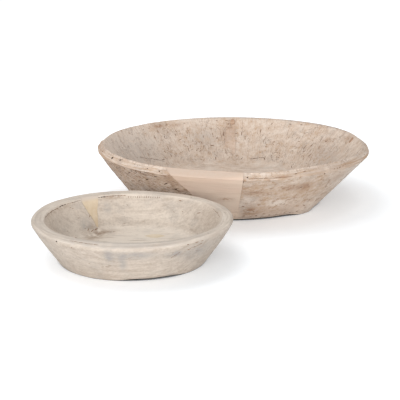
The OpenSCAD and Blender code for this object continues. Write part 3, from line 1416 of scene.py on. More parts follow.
@dataclass
class LargeBowl(CarvedBowl):
    """The wide bowl, with its front patch, nails, back fill and knot plugs.

    Attributes:
        foot_shift: How far the foot lies to the left of the rim's middle.
        foot_gap: Lift of the foot's edge at the front right.
        front_fall: How much lower the whole rim lies at the front.
        rim_fall: How much lower still the rim's outer edge lies there.
        right_flat: How far the rim's right end is drawn in.
        belly: How far the left wall swells.
        seam_dip: How much lower the rim lies beside the patch's right seam.
        foot_corner: How far the foot juts out at the front right.
        belly_at: Bearing of the swollen wall.
        seam_dip_at: Bearing of the dip beside the seam.
        foot_gap_at: Bearing of the lifted edge of the foot.
        foot_corner_at: Bearing of the foot's corner.
        adzed_at: Bearing of the dark adzed ground.
        patch_rim_left: Left end of the patch at the rim.
        patch_mid_left: Left edge of the patch half way down.
        patch_foot_left: Left end of the patch at its sill.
        patch_foot_right: Right end of the patch at its sill.
        patch_rim_right: Right end of the patch at the rim.
        patch_sill: Height of the patch's foot above the inside floor.
        fill_right: Right side of the back fill.
        fill_w: Width of the back fill.
        fill_tail_w: Width of its narrow tail.
        fill_below_rim: Top of the back fill below the rim.
        fill_wide_h: Height of its wide part.
        fill_h: Its whole height.
        fill_depth: Its depth in the wall, measured level.
        knot_bearings: Places of the knot plugs.
        knot_r: Radius of a knot plug.
        knot_oval: Height of a knot plug as a share of its width.
        knot_depth: Depth of a knot plug.
        knot_below_rim: Middle of a knot plug below the rim.
        nail_r: Radius of a nail's shank.
        nail_len: Length of a nail.
        nail_from_seam: Distance of a nail from the patch's end.
        nail_slant: Slant of a nail across the seam, in degrees.
    """

    foot_shift: float = 11.5 * MM
    foot_gap: float = 3.6 * MM
    front_fall: float = 2.0 * MM
    rim_fall: float = 1.2 * MM
    right_flat: float = 6.5 * MM
    belly: float = 2.8 * MM
    seam_dip: float = 3.0 * MM
    foot_corner: float = 10.0 * MM
    belly_at: float = -165.0
    seam_dip_at: float = -80.0
    foot_gap_at: float = -72.0
    foot_corner_at: float = -43.0
    adzed_at: float = -148.0
    patch_rim_left: float = -151 * MM
    patch_mid_left: float = -102 * MM
    patch_foot_left: float = -62 * MM
    patch_foot_right: float = 3 * MM
    patch_rim_right: float = 12 * MM
    patch_sill: float = 3 * MM
    fill_right: float = 11 * MM
    fill_w: float = 25 * MM
    fill_tail_w: float = 11 * MM
    fill_below_rim: float = 24 * MM
    fill_wide_h: float = 36 * MM
    fill_h: float = 56 * MM
    fill_depth: float = 12 * MM
    knot_bearings: tuple[float, float] = (89.0, 12.0)
    knot_r: float = 6 * MM
    knot_oval: float = 1.25
    knot_depth: float = 10 * MM
    knot_below_rim: float = 12 * MM
    nail_r: float = 1.5 * MM
    nail_len: float = 36 * MM
    nail_from_seam: float = 6 * MM
    nail_slant: float = 32.0

    def soil(self, spots: Spots) -> np.ndarray:
        """Share of the dark adzed ground on the outer wall at each vertex."""
        left = near(spots.bearing, self.adzed_at, 78.0, 38.0)
        back = 0.35 * near(spots.bearing, 110.0, 95.0, 60.0)
        return np.maximum(left, back)

    def tool_depth(self, spots: Spots, tooled: float) -> np.ndarray:
        """Depth of adze tears outside, gouge strokes inside and lines along the rim.

        Args:
            spots: Vertices of the turned shell.
            tooled: Share of the tool marks.

        Returns:
            Depth to take off at each vertex.
        """
        noise = self.noise
        around = spots.around(self.shape.rim_r)
        outside = rise(0.3, 0.6, spots.out)
        inner = rise(-0.3, -0.6, spots.out)
        flat = rise(0.75, 0.92, spots.normal[:, 2])
        rim = flat * rise(95 * MM, 105 * MM, spots.z)
        floor = flat * rise(60 * MM, 50 * MM, spots.z)
        soil = self.soil(spots)
        lumps = 1 + noise.fractal(spots.place * 26.0, 2)
        dents = 1 + noise.fractal(spots.place * 75.0 + 5.0, 2)
        tears = 1 + noise.fractal(around * np.array([52.0, 52.0, 210.0]), 3)
        strokes = noise.ridges(around * np.array([85.0, 85.0, 13.0]))
        floor_lines = noise.ridges(spots.place * np.array([9.0, 80.0, 1.0]))
        lines = 1 + noise.fractal(np.column_stack((spots.r * 330.0, spots.heading * 6.0)), 2)
        left_rim = 0.4 + 0.6 * near(spots.bearing, -150.0, 90.0, 50.0)
        tools = outside * (0.5 * MM * lumps + 0.45 * MM * dents + 0.8 * MM * soil * tears)
        tools += inner * (0.6 * MM * lumps + 0.55 * MM * strokes)
        tools += floor * (0.5 * MM * lumps + 0.35 * MM * floor_lines)
        tools += rim * (0.7 * MM * lines * left_rim + 0.2 * MM * dents)
        chips = np.maximum(0.0, noise.fractal(around * 60.0 + 9.0, 2) - 0.15)
        edge = rise(9 * MM, 2 * MM, np.abs(spots.r - self.shape.rim_r))
        tools += edge * 1.2 * MM * chips
        eased = 0.2 * MM + 2.2 * MM * rise(10 * MM, 0.0, self.shape.rim_r - spots.r) * (1 - inner)
        return tools * tooled + (1 - tooled) * eased

    def bend(self, place: np.ndarray) -> np.ndarray:
        """Shift the foot and its corner, swell the left wall, drop the rim's front and let it waver.

        Args:
            place: Vertices seen from the middle of the foot.

        Returns:
            Their bent places.
        """
        bent = place.copy()
        shape = self.shape
        z = place[:, 2]
        r, heading, bearing = polar(place)
        height = np.clip(z / shape.edge.y, 0.0, 1.0)
        top = rise(0.4, 1.0, z / shape.height)
        front = rise(0.2, -0.9, heading[:, 1])
        edge = rise(shape.rim_in.x, shape.edge.x, r) * rise(0.75, 0.9, height)
        waver = 0.4 * MM * (1 + self.noise.fractal(heading * 2.2, 2))
        gap = rise(0.85, 1.0, r / shape.foot_r) * rise(12 * MM, 0.0, z)
        bent[:, 0] -= self.foot_shift * (1 - height)
        bent[:, 2] -= top * (waver + self.front_fall * front) + edge * self.rim_fall * front
        bent[:, 2] -= top * self.seam_dip * near(bearing, self.seam_dip_at, 19.0, 6.0)
        bent[:, 2] += gap * self.foot_gap * near(bearing, self.foot_gap_at, 30.0, 18.0)

        foot_edge = rise(14 * MM, 0.0, z) * rise(0.8, 0.95, r / shape.foot_r)
        swell = np.sin(math.pi * height) * near(bearing, self.belly_at, 60.0, 20.0)
        low = rise(0.35, 0.0, height) * rise(0.5, 1.0, r / shape.foot_r)
        draw_in = 0.7 * MM * (1 + self.noise.fractal(heading * 3.0 + 4.0, 2)) * r / shape.rim_r
        draw_in += self.right_flat * top * np.maximum(heading[:, 0], 0.0) ** 16
        draw_in += foot_edge * 0.6 * MM * (1 + self.noise.fractal(heading * 13.0 + 8.0, 2))
        draw_in -= self.belly * swell * self.outer_share(r, z)
        draw_in -= low * self.foot_corner * near(bearing, self.foot_corner_at, 16.0, 3.0)
        bent -= heading * draw_in[:, None]
        return bent

    def weights(self, spots: Spots) -> dict[Zone, np.ndarray]:
        """Zones' shares, with the dark adzed ground of the outer wall."""
        shares = super().weights(spots)
        plain = (1 - shares[Zone.INSIDE]) * (1 - shares[Zone.RIM])
        across = spots.place[:, 0]
        under = rise(-90 * MM, -60 * MM, across) * rise(12 * MM, -2 * MM, across)
        under *= rise(45 * MM, 34 * MM, spots.z)
        shares[Zone.PLANED] += plain * under * rise(0.0, -0.5, spots.heading[:, 1])
        shares[Zone.SOIL] += plain * self.soil(spots) * (1 - shares[Zone.PLANED])
        return shares

    def patch_tool(self, grow: float) -> Item:
        """Wedge through the front wall, as the patch is or grown by its seam.

        Args:
            grow: Width of the seam, or zero for the piece itself.

        Returns:
            The tool.
        """
        shape = self.shape
        foot_z = shape.floor_t + self.patch_sill
        mid_z = (foot_z + shape.height) / 2
        corners = (
            (self.patch_rim_left - grow, shape.height + OVERSHOOT),
            (self.patch_mid_left - grow, mid_z),
            (self.patch_foot_left - grow, foot_z - grow),
            (self.patch_foot_right + grow, foot_z - grow),
            (self.patch_rim_right + grow, shape.height + OVERSHOOT),
        )
        return Bench.place("patch_tool", self.wall_wedge(corners, 0.8 * MM))

    def fill_tool(self, grow: float) -> Item:
        """Tapered crack in the back wall, as its filler is or grown by its seam.

        Args:
            grow: Width of the seam, or zero for the piece itself.

        Returns:
            The tool.
        """
        shape = self.shape
        top = shape.height - self.fill_below_rim
        left = self.fill_right - self.fill_w
        tail = self.fill_right - self.fill_tail_w
        corners = (
            (left - grow, top + grow),
            (self.fill_right + grow, top + grow),
            (self.fill_right + grow, top - self.fill_h - grow),
            (tail - grow, top - self.fill_h - grow),
            (tail - grow, top - self.fill_wide_h - self.fill_w / 2),
            (left - grow, top - self.fill_wide_h),
        )
        reach = float(shape.inner_r(shape.floor_t)) - shape.cove_r
        outline = [Vector((x, reach, z)) for x, z in corners]
        tool = prism(outline, Vector((0, shape.rim_r - reach, 0)), 1.6 * MM, self.noise)
        back = Vector((0, float(shape.inner_r(top)) + self.fill_depth + grow, top))
        slope = Vector((0, math.cos(shape.lean), -math.sin(shape.lean)))
        whole = tool.verts[:] + tool.edges[:] + tool.faces[:]
        kept = bmesh.ops.bisect_plane(tool, geom=whole, plane_co=back, plane_no=slope, clear_outer=True)
        rim = [part for part in kept["geom_cut"] if isinstance(part, bmesh.types.BMEdge)]
        bmesh.ops.contextual_create(tool, geom=rim)
        bmesh.ops.triangulate(tool, faces=tool.faces)
        bmesh.ops.recalc_face_normals(tool, faces=tool.faces)
        return Bench.place("fill_tool", tool)

    def knot(self, tray: bmesh.types.BMesh, tree: BVHTree, bearing: float, grow: float, sunk: float) -> None:
        """Add one oval knot plug, square to the inner wall.

        Args:
            tray: Mesh that the plug joins.
            tree: Search tree of the carved shell.
            bearing: Place round the bowl.
            grow: How much larger it is than the plug.
            sunk: Depth of its face below the wall, below zero where it stands proud.
        """
        level = self.shape.height - self.knot_below_rim
        point, normal, along = self.seat(tree, Face.INSIDE, bearing, level)
        level_side = (along - along.dot(normal) * normal).normalized()
        up_side = normal.cross(level_side)
        axes = Matrix((level_side, up_side * self.knot_oval, normal)).transposed().to_4x4()
        depth = self.knot_depth - sunk + grow
        middle = point - normal * (sunk + depth / 2)
        radius = self.knot_r + grow
        made = bmesh.ops.create_cone(tray, cap_ends=True, cap_tris=False, segments=28, radius1=radius * 0.9,
                                     radius2=radius, depth=depth, matrix=Matrix.Translation(middle) @ axes)
        for vert in made["verts"]:
            swell = self.noise.smooth(np.array([vert.co]) * 190.0)[0]
            vert.co += (vert.co - middle).project(level_side) * 0.12 * swell

    def knot_set(self, name: str, tree: BVHTree, grow: float, sunk: float) -> Item:
        """Both knot plugs, or the tool that cuts their pockets."""
        tray = bmesh.new()
        for bearing in self.knot_bearings:
            self.knot(tray, tree, bearing, grow, sunk)
        bmesh.ops.recalc_face_normals(tray, faces=tray.faces)
        return Bench.place(name, tray)

    def nail_set(self, name: str, tree: BVHTree, grow: float, sunk: float) -> Item:
        """Both nails, or the tool that cuts their holes.

        Args:
            name: Name of the object.
            tree: Search tree of the carved shell.
            grow: Clearance round the nail.
            sunk: Depth of the head's top below the rim.

        Returns:
            The nails as one object.
        """
        shape = self.shape
        tray = bmesh.new()
        mid_r = (shape.rim_r + shape.rim_in.x) / 2
        for end, side in ((self.patch_rim_right, 1), (self.patch_rim_left, -1)):
            x = end + side * self.nail_from_seam
            bearing = -90 + math.degrees(math.asin(x / mid_r))
            point, _, along = self.seat(tree, Face.RIM, bearing, mid_r)
            angle = math.radians(bearing)
            heading = Vector((math.cos(angle), math.sin(angle), 0))
            rise_line = Vector((0, 0, math.cos(shape.lean))) + heading * math.sin(shape.lean)
            slant = math.radians(side * self.nail_slant)
            axis = Matrix.Rotation(slant, 3, along.cross(rise_line)) @ rise_line
            self.nail(tray, point, axis, grow, sunk)
        bmesh.ops.recalc_face_normals(tray, faces=tray.faces)
        return Bench.place(name, tray)

    def nail(self, tray: bmesh.types.BMesh, point: Vector, axis: Vector, grow: float, sunk: float) -> None:
        """Add one forged nail: a flat faceted head and a shank that tapers to a blunt point.

        Args:
            tray: Mesh that the nail joins.
            point: Point on the rim.
            axis: Direction from the point of the nail to its head.
            grow: Clearance round the nail.
            sunk: Depth of the head's top below the rim.
        """
        head_r = self.nail_r * 1.15 + grow
        under = -1.3 * MM - grow
        tip = -self.nail_len - grow
        line = ((0, 0), (head_r * 0.7, 0), (head_r, -0.5 * MM), (head_r, under),
                (self.nail_r + grow, under - MM), (self.nail_r * 0.6 + grow, tip), (0, tip))
        verts = [tray.verts.new((r, 0, z)) for r, z in line]
        edges = [tray.edges.new(pair) for pair in zip(verts, verts[1:])]
        before = set(tray.verts) - set(verts)
        bmesh.ops.spin(tray, geom=verts + edges, cent=(0, 0, 0), axis=(0, 0, 1), angle=math.tau, steps=9,
                       use_merge=True)
        fresh = [vert for vert in tray.verts if vert not in before]
        turn = Vector((0, 0, 1)).rotation_difference(axis).to_matrix().to_4x4()
        bmesh.ops.transform(tray, verts=fresh, matrix=Matrix.Translation(point - axis * sunk) @ turn)
        bmesh.ops.remove_doubles(tray, verts=fresh, dist=5 * WELD)

    def knot_ring(self, bearing: float, level: float, wide: float, tall: float, count: int) -> list[Mark]:
        """Broken ring of nicks where the grain turns round a buried knot.

        Args:
            bearing: Middle of the ring, in degrees.
            level: Height of its middle.
            wide: Half its width along the wall.
            tall: Half its height.
            count: Number of nicks.

        Returns:
            The nicks.
        """
        radius = float(self.shape.inner_r(level))
        marks = []
        for turn in np.linspace(0.0, math.tau, count, endpoint=False):
            stray = self.chance.uniform(0.8, 1.15)
            place = bearing + math.degrees(stray * wide * math.cos(turn) / radius)
            tilt = math.degrees(math.atan2(tall * math.cos(turn), wide * math.sin(turn)))
            length = wide * self.chance.uniform(0.3, 0.75)
            height = level + stray * tall * math.sin(turn)
            marks.append(Mark(Face.INSIDE, place, height, length, 1.3 * MM, 1.0 * MM, tilt))
        return marks

    def build(self) -> None:
        """Make every piece of the wide bowl and hand it to the frame."""
        finishes, items = self.start("large", LARGE_WOOD, "front_patch", "back_wall_fill")
        _, torn, hole = finishes
        body, patch, fill = items
        tree = Bench.search_tree(body)
        self.let_in(patch, self.patch_tool(0.0))
        self.let_in(fill, self.fill_tool(0.0))
        knots = self.knot_set("knot_plugs", tree, 0.0, 0.4 * MM)
        nails = self.nail_set("patch_nail_pair", tree, 0.0, 0.3 * MM)

        marks = self.tray(body).object("large_marks")
        tools = (marks, self.patch_tool(self.seam), self.fill_tool(self.seam),
                 self.knot_set("knot_tool", tree, self.seam, -2 * MM),
                 self.nail_set("nail_tool", tree, 0.15 * MM, -0.6 * MM))
        for tool in tools[1:]:
            Bench.use_slot(tool, Slot.TORN)
        for tool in tools:
            Bench.cut(body, tool, "DIFFERENCE")
        patch_tools = (tools[-1], self.patch_marks(patch))
        for tool in patch_tools:
            Bench.cut(patch, tool, "DIFFERENCE")
        for tool in {*tools, *patch_tools}:
            Bench.discard(tool)

        for item in (body, patch, fill):
            self.note_zones(item)
        self.note_rings(knots, tree)
        Bench.set_finishes(patch, (PATCH_WOOD.make("patch_planed_wood", self.centre), torn, hole))
        Bench.set_finishes(fill, (FILL_WOOD.make("wall_filler", self.centre, self.shape.rim_r),))
        Bench.set_finishes(knots, (KNOT_WOOD.make("knot_wood"),))
        Bench.set_finishes(nails, (NAIL_IRON.make("nail_iron"),))
        for item, node, slot in (
            (body, "large_bowl_body", "large_wood"),
            (patch, "large_front_patch", "patch_wood"),
            (fill, "large_back_fill", "filler"),
            (knots, "large_knot_plugs", "knot_wood"),
            (nails, "patch_nails", "iron"),
        ):
            Bench.soften(item)
            self.hand_over(item, node, slot)

    def patch_marks(self, patch: Item) -> Item:
        """Cutters of the crack across the patch and of a few nicks on its rim."""
        tree = Bench.search_tree(patch)
        tray = CutterTray()
        ends = ((-99, 59 * MM), (-91, 61 * MM))
        self.add_crack(tray, tree, Crack(Face.OUTSIDE, *ends, 7, 1.8 * MM, 1.4 * MM, 1.2 * MM))
        self.add_mark(tray, tree, Mark(Face.RIM, -100, 292 * MM, 9 * MM, 1.2 * MM, 0.7 * MM))
        return tray.object("patch_marks")

    def note_rings(self, knots: Item, tree: BVHTree) -> None:
        """Write each knot's radius share, from 0 in the middle to 1 at the edge, to its mesh."""
        level = self.shape.height - self.knot_below_rim
        seats = [self.seat(tree, Face.INSIDE, bearing, level) for bearing in self.knot_bearings]
        shares = []
        for vert in knots.data.vertices:
            point, normal, _ = min(seats, key=lambda seat: (seat[0] - vert.co).length)
            spoke = vert.co - point
            shares.append((spoke - spoke.project(normal)).length / (self.knot_oval * self.knot_r))
        layer = knots.data.attributes.new(Zone.RING.value, "FLOAT", "POINT")
        layer.data.foreach_set("value", shares)


@dataclass
class SmallBowl(CarvedBowl):
    """The small bowl, with the wedge in its wall and the filled check in its floor.

    Attributes:
        belly: How far the walls swell at the right and the left.
        back_rise: How much higher the rim lies at the back left.
        front_fall: How much lower the whole rim lies at the front.
        rim_fall: How much lower still the rim's outer edge is worn at the front.
        rim_thin: How much narrower the rim is at the right.
        foot_gap: Lift of the foot's edge at the front right.
        back_rise_at: Bearing of the raised rim.
        foot_gap_at: Bearing of the lifted edge of the foot.
        worn_to: Direction of the worn front, as x and y.
        wedge_at: Place of the wedge round the bowl.
        wedge_rim_w: Width of the wedge at the rim.
        wedge_tip_w: Width of its blunt tip.
        wedge_sill: Height of its tip above the inside floor.
        check_at: Middle of the filled check, from the bowl's middle.
        check_len: Length of the check.
        check_w: Width of the check.
        check_depth: Depth of its filler.
    """

    belly: float = 2.4 * MM
    back_rise: float = 2.5 * MM
    front_fall: float = 1.2 * MM
    rim_fall: float = 5.0 * MM
    rim_thin: float = 3.5 * MM
    foot_gap: float = 3.4 * MM
    back_rise_at: float = 126.0
    foot_gap_at: float = -72.0
    worn_to: Span = (-0.17, -0.98)
    wedge_at: float = 125.0
    wedge_rim_w: float = 38 * MM
    wedge_tip_w: float = 3 * MM
    wedge_sill: float = 10 * MM
    check_at: tuple[float, float] = (38 * MM, 76 * MM)
    check_len: float = 40 * MM
    check_w: float = 24 * MM
    check_depth: float = 5 * MM

    def tool_depth(self, spots: Spots, tooled: float) -> np.ndarray:
        """Depth of the shallow tool marks.

        Args:
            spots: Vertices of the turned shell.
            tooled: Share of the tool marks.

        Returns:
            Depth to take off at each vertex.
        """
        noise = self.noise
        around = spots.around(self.shape.rim_r)
        wall = rise(0.3, 0.6, np.abs(spots.out))
        flat = rise(0.75, 0.92, spots.normal[:, 2])
        rim = flat * rise(65 * MM, 70 * MM, spots.z)
        floor = flat * rise(50 * MM, 40 * MM, spots.z)
        lumps = 1 + noise.fractal(spots.place * 30.0, 2)
        scrapes = 1 + noise.fractal(around * np.array([40.0, 40.0, 190.0]), 2)
        floor_lines = noise.ridges(spots.place * np.array([12.0, 95.0, 1.0]))
        lines = 1 + noise.fractal(np.column_stack((spots.r * 300.0, spots.heading * 5.0)), 2)
        tools = wall * (0.4 * MM * lumps + 0.22 * MM * scrapes)
        tools += floor * (0.35 * MM * lumps + 0.2 * MM * floor_lines)
        tools += rim * (0.3 * MM * lines + 0.2 * MM * lumps)
        return tools * tooled + (1 - tooled) * 0.3 * MM

    def bend(self, place: np.ndarray) -> np.ndarray:
        """Swell the walls, tip the rim to the front, lift the foot's edge and let the rim waver.

        Args:
            place: Vertices seen from the middle of the foot.

        Returns:
            Their bent places.
        """
        bent = place.copy()
        shape = self.shape
        r, heading, bearing = polar(place)
        height = place[:, 2] / shape.height
        outer = self.outer_share(r, place[:, 2])
        top = rise(0.4, 1.0, height)
        waver = 0.35 * MM * (1 + self.noise.fractal(heading * 2.0, 2))
        edge = outer * rise(0.15, 1.0, height)
        worn = rise(0.55, 1.0, self.worn_to[0] * heading[:, 0] + self.worn_to[1] * heading[:, 1])
        gap = rise(0.85, 1.0, r / shape.foot_r) * rise(0.12, 0.0, height)
        bent[:, 2] -= top * (waver + self.front_fall * rise(0.3, -0.9, heading[:, 1]))
        bent[:, 2] -= edge * self.rim_fall * worn
        bent[:, 2] += top * self.back_rise * near(bearing, self.back_rise_at, 62.0, 20.0)
        bent[:, 2] += gap * self.foot_gap * near(bearing, self.foot_gap_at, 32.0, 12.0)

        swell = np.sin(math.pi * np.clip(height, 0, 1) ** 1.3) * outer
        swell *= rise(-0.1, 0.9, np.abs(heading[:, 0]))
        thin = rise(-0.3, 0.8, heading[:, 0]) * top * (1 - outer)
        draw_in = 0.5 * MM * (1 + self.noise.fractal(heading * 2.6 + 4.0, 2)) * r / shape.rim_r
        bent += heading * (self.belly * swell + self.rim_thin * thin - draw_in)[:, None]
        return bent

    def wedge_tool(self, grow: float) -> Item:
        """Wedge through the wall, as its filler is or grown by its seam.

        Args:
            grow: Width of the seam, or zero for the piece itself.

        Returns:
            The tool.
        """
        shape = self.shape
        tip_z = shape.floor_t + self.wedge_sill
        corners = (
            (-self.wedge_rim_w / 2 - grow, shape.height + OVERSHOOT),
            (-self.wedge_tip_w / 2 - grow, tip_z - grow),
            (self.wedge_tip_w / 2 + grow, tip_z - grow),
            (self.wedge_rim_w / 2 + grow, shape.height + OVERSHOOT),
        )
        tool = self.wall_wedge(corners, 1.8 * MM)
        turn = Matrix.Rotation(math.radians(self.wedge_at + 90), 4, "Z")
        bmesh.ops.transform(tool, verts=tool.verts, matrix=Matrix.Translation(self.centre) @ turn)
        return Bench.place("wedge_tool", tool)

    def check_tool(self, grow: float) -> Item:
        """Lens-shaped check in the floor, as its filler is or grown by its seam.

        Args:
            grow: Width of the seam, or zero for the piece itself.

        Returns:
            The tool.
        """
        shape = self.shape
        depth = self.check_depth + grow
        half = self.check_len / 2 + grow
        bow = self.check_w / 2 + grow
        low = self.centre + Vector((*self.check_at, shape.floor_t - depth))
        shares = np.linspace(-1.0, 1.0, 9)
        front = [Vector((half * t, -bow * (1 - t * t), 0)) for t in shares]
        back = [Vector((half * t, bow * (1 - t * t), 0)) for t in shares[-2:0:-1]]
        outline = [low + point for point in (*front, *back)]
        return Bench.place("check_tool", prism(outline, Vector((0, 0, depth + 6 * MM)), 0.0, self.noise))

    def build(self) -> None:
        """Make every piece of the small bowl and hand it to the frame."""
        _, (body, wedge, check) = self.start("small", SMALL_WOOD, "wall_wedge", "floor_check")
        self.let_in(wedge, self.wedge_tool(0.0))
        self.let_in(check, self.check_tool(0.0))
        seam_tools = (self.wedge_tool(self.seam), self.check_tool(self.seam))
        for tool in seam_tools:
            Bench.use_slot(tool, Slot.TORN)
        for tool in (self.tray(body).object("small_marks"), *seam_tools):
            Bench.cut(body, tool, "DIFFERENCE")
            Bench.discard(tool)
        Bench.set_finishes(wedge, (SMALL_PUTTY.make("wedge_putty"),))
        Bench.set_finishes(check, (CHECK_PUTTY.make("check_putty"),))
        for item, node, slot in (
            (body, "small_bowl_body", "small_wood"),
            (wedge, "small_wedge_fill", "filler"),
            (check, "small_floor_fill", "filler"),
        ):
            self.note_zones(item)
            Bench.soften(item)
            self.hand_over(item, node, slot)


@dataclass(frozen=True)
class Lamp:
    """A wide soft panel that shines at a point.

    Attributes:
        name: Name of the lamp.
        at: Place of the panel.
        aim: Point that it faces.
        size: Width and height of the panel.
        power: Power in watts.
    """

    name: str
    at: Triple
    aim: Triple
    size: tuple[float, float]
    power: float

    def hang(self, scene: bpy.types.Scene) -> None:
        """Put the lamp in the scene."""
        data = bpy.data.lights.new(self.name, "AREA")
        data.energy = self.power
        data.shape = "RECTANGLE"
        data.size, data.size_y = self.size
        panel = bpy.data.objects.new(self.name, data)
        panel.location = self.at
        panel.rotation_euler = (Vector(self.aim) - Vector(self.at)).to_track_quat("-Z", "Y").to_euler()
        scene.collection.objects.link(panel)


@dataclass(frozen=True)
class Studio:
    """Camera, soft light and a pale floor.

    Attributes:
        camera_at: Place of the camera.
        camera_pitch: Turn of the camera from straight down, in degrees.
        lens: Focal length in millimetres on a frame 36 mm wide.
        lamps: Soft panels.
        sky: Strength of the even light from all round.
        floor_half: Half the width of the floor.
        floor_tone: Colour of the floor.
        floor_lift: What the camera sees added to the open floor.
        far_lift: What it sees added to that further back.
        chink: Reach within which a foot takes that away and darkens the floor's colour, a painted contact
            shadow.
        lee: Reach of the shade on the side away from the light, and of the gain on the lit side.
        lee_from: Direction that the shade looks towards, for what stands in its light.
        lee_share: Share of the lift that this shade takes away.
        lit_from: Direction that the gain looks towards, for what throws light back.
        lit_share: Share of the lift that this gain adds.
    """

    camera_at: Triple = (-0.0754, -2.4938, 0.6447)
    camera_pitch: float = 75.31
    lens: float = 102.83
    lamps: tuple[Lamp, ...] = (
        Lamp("key_panel", (-1.0, 0.3, 2.5), (0.0, -0.2, 0.0), (2.2, 2.2), 26.0),
        Lamp("front_panel", (-0.4, -3.2, 0.6), (0.0, 0.0, 0.05), (3.0, 1.0), 72.0),
        Lamp("fill_panel", (2.4, -2.2, 0.5), (0.1, -0.1, 0.05), (1.6, 0.8), 9.0),
    )
    sky: float = 0.58
    floor_half: float = 12.0
    floor_tone: Colour = (0.83, 0.86, 0.89, 1.0)
    floor_lift: float = 0.29
    far_lift: float = 0.27
    chink: float = 0.012
    lee: float = 0.07
    lee_from: Triple = (-0.7, 0.3, 0.65)
    lee_share: float = 0.46
    lit_from: Triple = (0.75, 0.0, 0.65)
    lit_share: float = 0.45

    def build(self) -> None:
        """Set up camera, lamps, world and floor."""
        scene = bpy.context.scene
        scene.view_settings.view_transform = "Standard"
        self.add_camera(scene)
        for lamp in self.lamps:
            lamp.hang(scene)
        self.add_sky(scene)
        self.add_floor()

    def add_camera(self, scene: bpy.types.Scene) -> None:
        """Make the camera at the picture's angle."""
        data = bpy.data.cameras.new("camera")
        data.lens = self.lens
        data.sensor_width = 36.0
        camera = bpy.data.objects.new("camera", data)
        camera.location = self.camera_at
        camera.rotation_euler = (math.radians(self.camera_pitch), 0, 0)
        scene.collection.objects.link(camera)
        scene.camera = camera

    @staticmethod
    def seen(bench: NodeBench) -> Socket:
        """Share of rays that show the surroundings: from the camera, in gloss and through glass."""
        path = bench.add("ShaderNodeLightPath", {})
        share = bench.sum("MAXIMUM", path.outputs["Is Camera Ray"], path.outputs["Is Glossy Ray"])
        return bench.sum("MAXIMUM", share, path.outputs["Is Transmission Ray"])

    def add_sky(self, scene: bpy.types.Scene) -> None:
        """Make the world: white where it is seen, soft light elsewhere."""
        world = bpy.data.worlds.new("white_room")
        scene.world = world
        bench = NodeBench(world)
        light, white = (
            bench.add("ShaderNodeBackground", {"Color": (1, 1, 1, 1), "Strength": strength}).outputs[0]
            for strength in (self.sky, 1.0)
        )
        both = bench.add("ShaderNodeMixShader", {0: self.seen(bench), 1: light, 2: white})
        bench.add("ShaderNodeOutputWorld", {"Surface": both.outputs[0]})

    def add_floor(self) -> None:
        """Make the pale floor, which keeps the lamps' shadow and has a painted contact shadow round each
        foot.
        """
        sheet = bmesh.new()
        bmesh.ops.create_grid(sheet, x_segments=1, y_segments=1, size=self.floor_half)
        floor = Bench.place("floor", sheet)
        bench = NodeBench.for_finish("pale_floor")
        # Painted contact shadow: close to a foot the floor's colour goes almost black and its lift fades
        outside_contact_shadow = bench.add("ShaderNodeAmbientOcclusion", {"Distance": self.chink}, samples=16).outputs["AO"]
        outside_contact_shadow = bench.step(outside_contact_shadow, 0.03, 0.32)
        tone = bench.mix(outside_contact_shadow, (0.05, 0.05, 0.05, 1.0), self.floor_tone)
        matt = bench.add("ShaderNodeBsdfDiffuse", {"Color": tone})
        away = bench.add("ShaderNodeSeparateXYZ", {0: bench.spot((0, 0, 0))}).outputs["Y"]
        lift = bench.sum("ADD", bench.step(away, -0.6, 1.2, self.far_lift), self.floor_lift)
        shade = 1.0
        for side, share in ((self.lee_from, self.lee_share), (self.lit_from, -self.lit_share)):
            sided = bench.add("ShaderNodeCombineXYZ", dict(enumerate(side))).outputs[0]
            reach = {"Distance": self.lee, "Normal": sided}
            free = bench.add("ShaderNodeAmbientOcclusion", reach, samples=16).outputs["AO"]
            shade = bench.plus(shade, bench.sum("SUBTRACT", 1.0, free), -share)
        lift = bench.times(bench.times(bench.times(lift, shade), outside_contact_shadow), self.seen(bench))
        glow = bench.add("ShaderNodeEmission", {"Color": (1, 1, 1, 1), "Strength": lift})
        both = bench.add("ShaderNodeAddShader", {0: matt.outputs[0], 1: glow.outputs[0]})
        bench.add("ShaderNodeOutputMaterial", {"Surface": both.outputs[0]})
        floor.data.materials.append(bench.owner)
        floor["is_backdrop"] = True


def foot_middle(node: str) -> Vector:
    """Middle of a bowl's foot, from the box of its solid."""
    low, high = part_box(node)
    return Vector(((low.x + high.x) / 2, (low.y + high.y) / 2, 0.0))


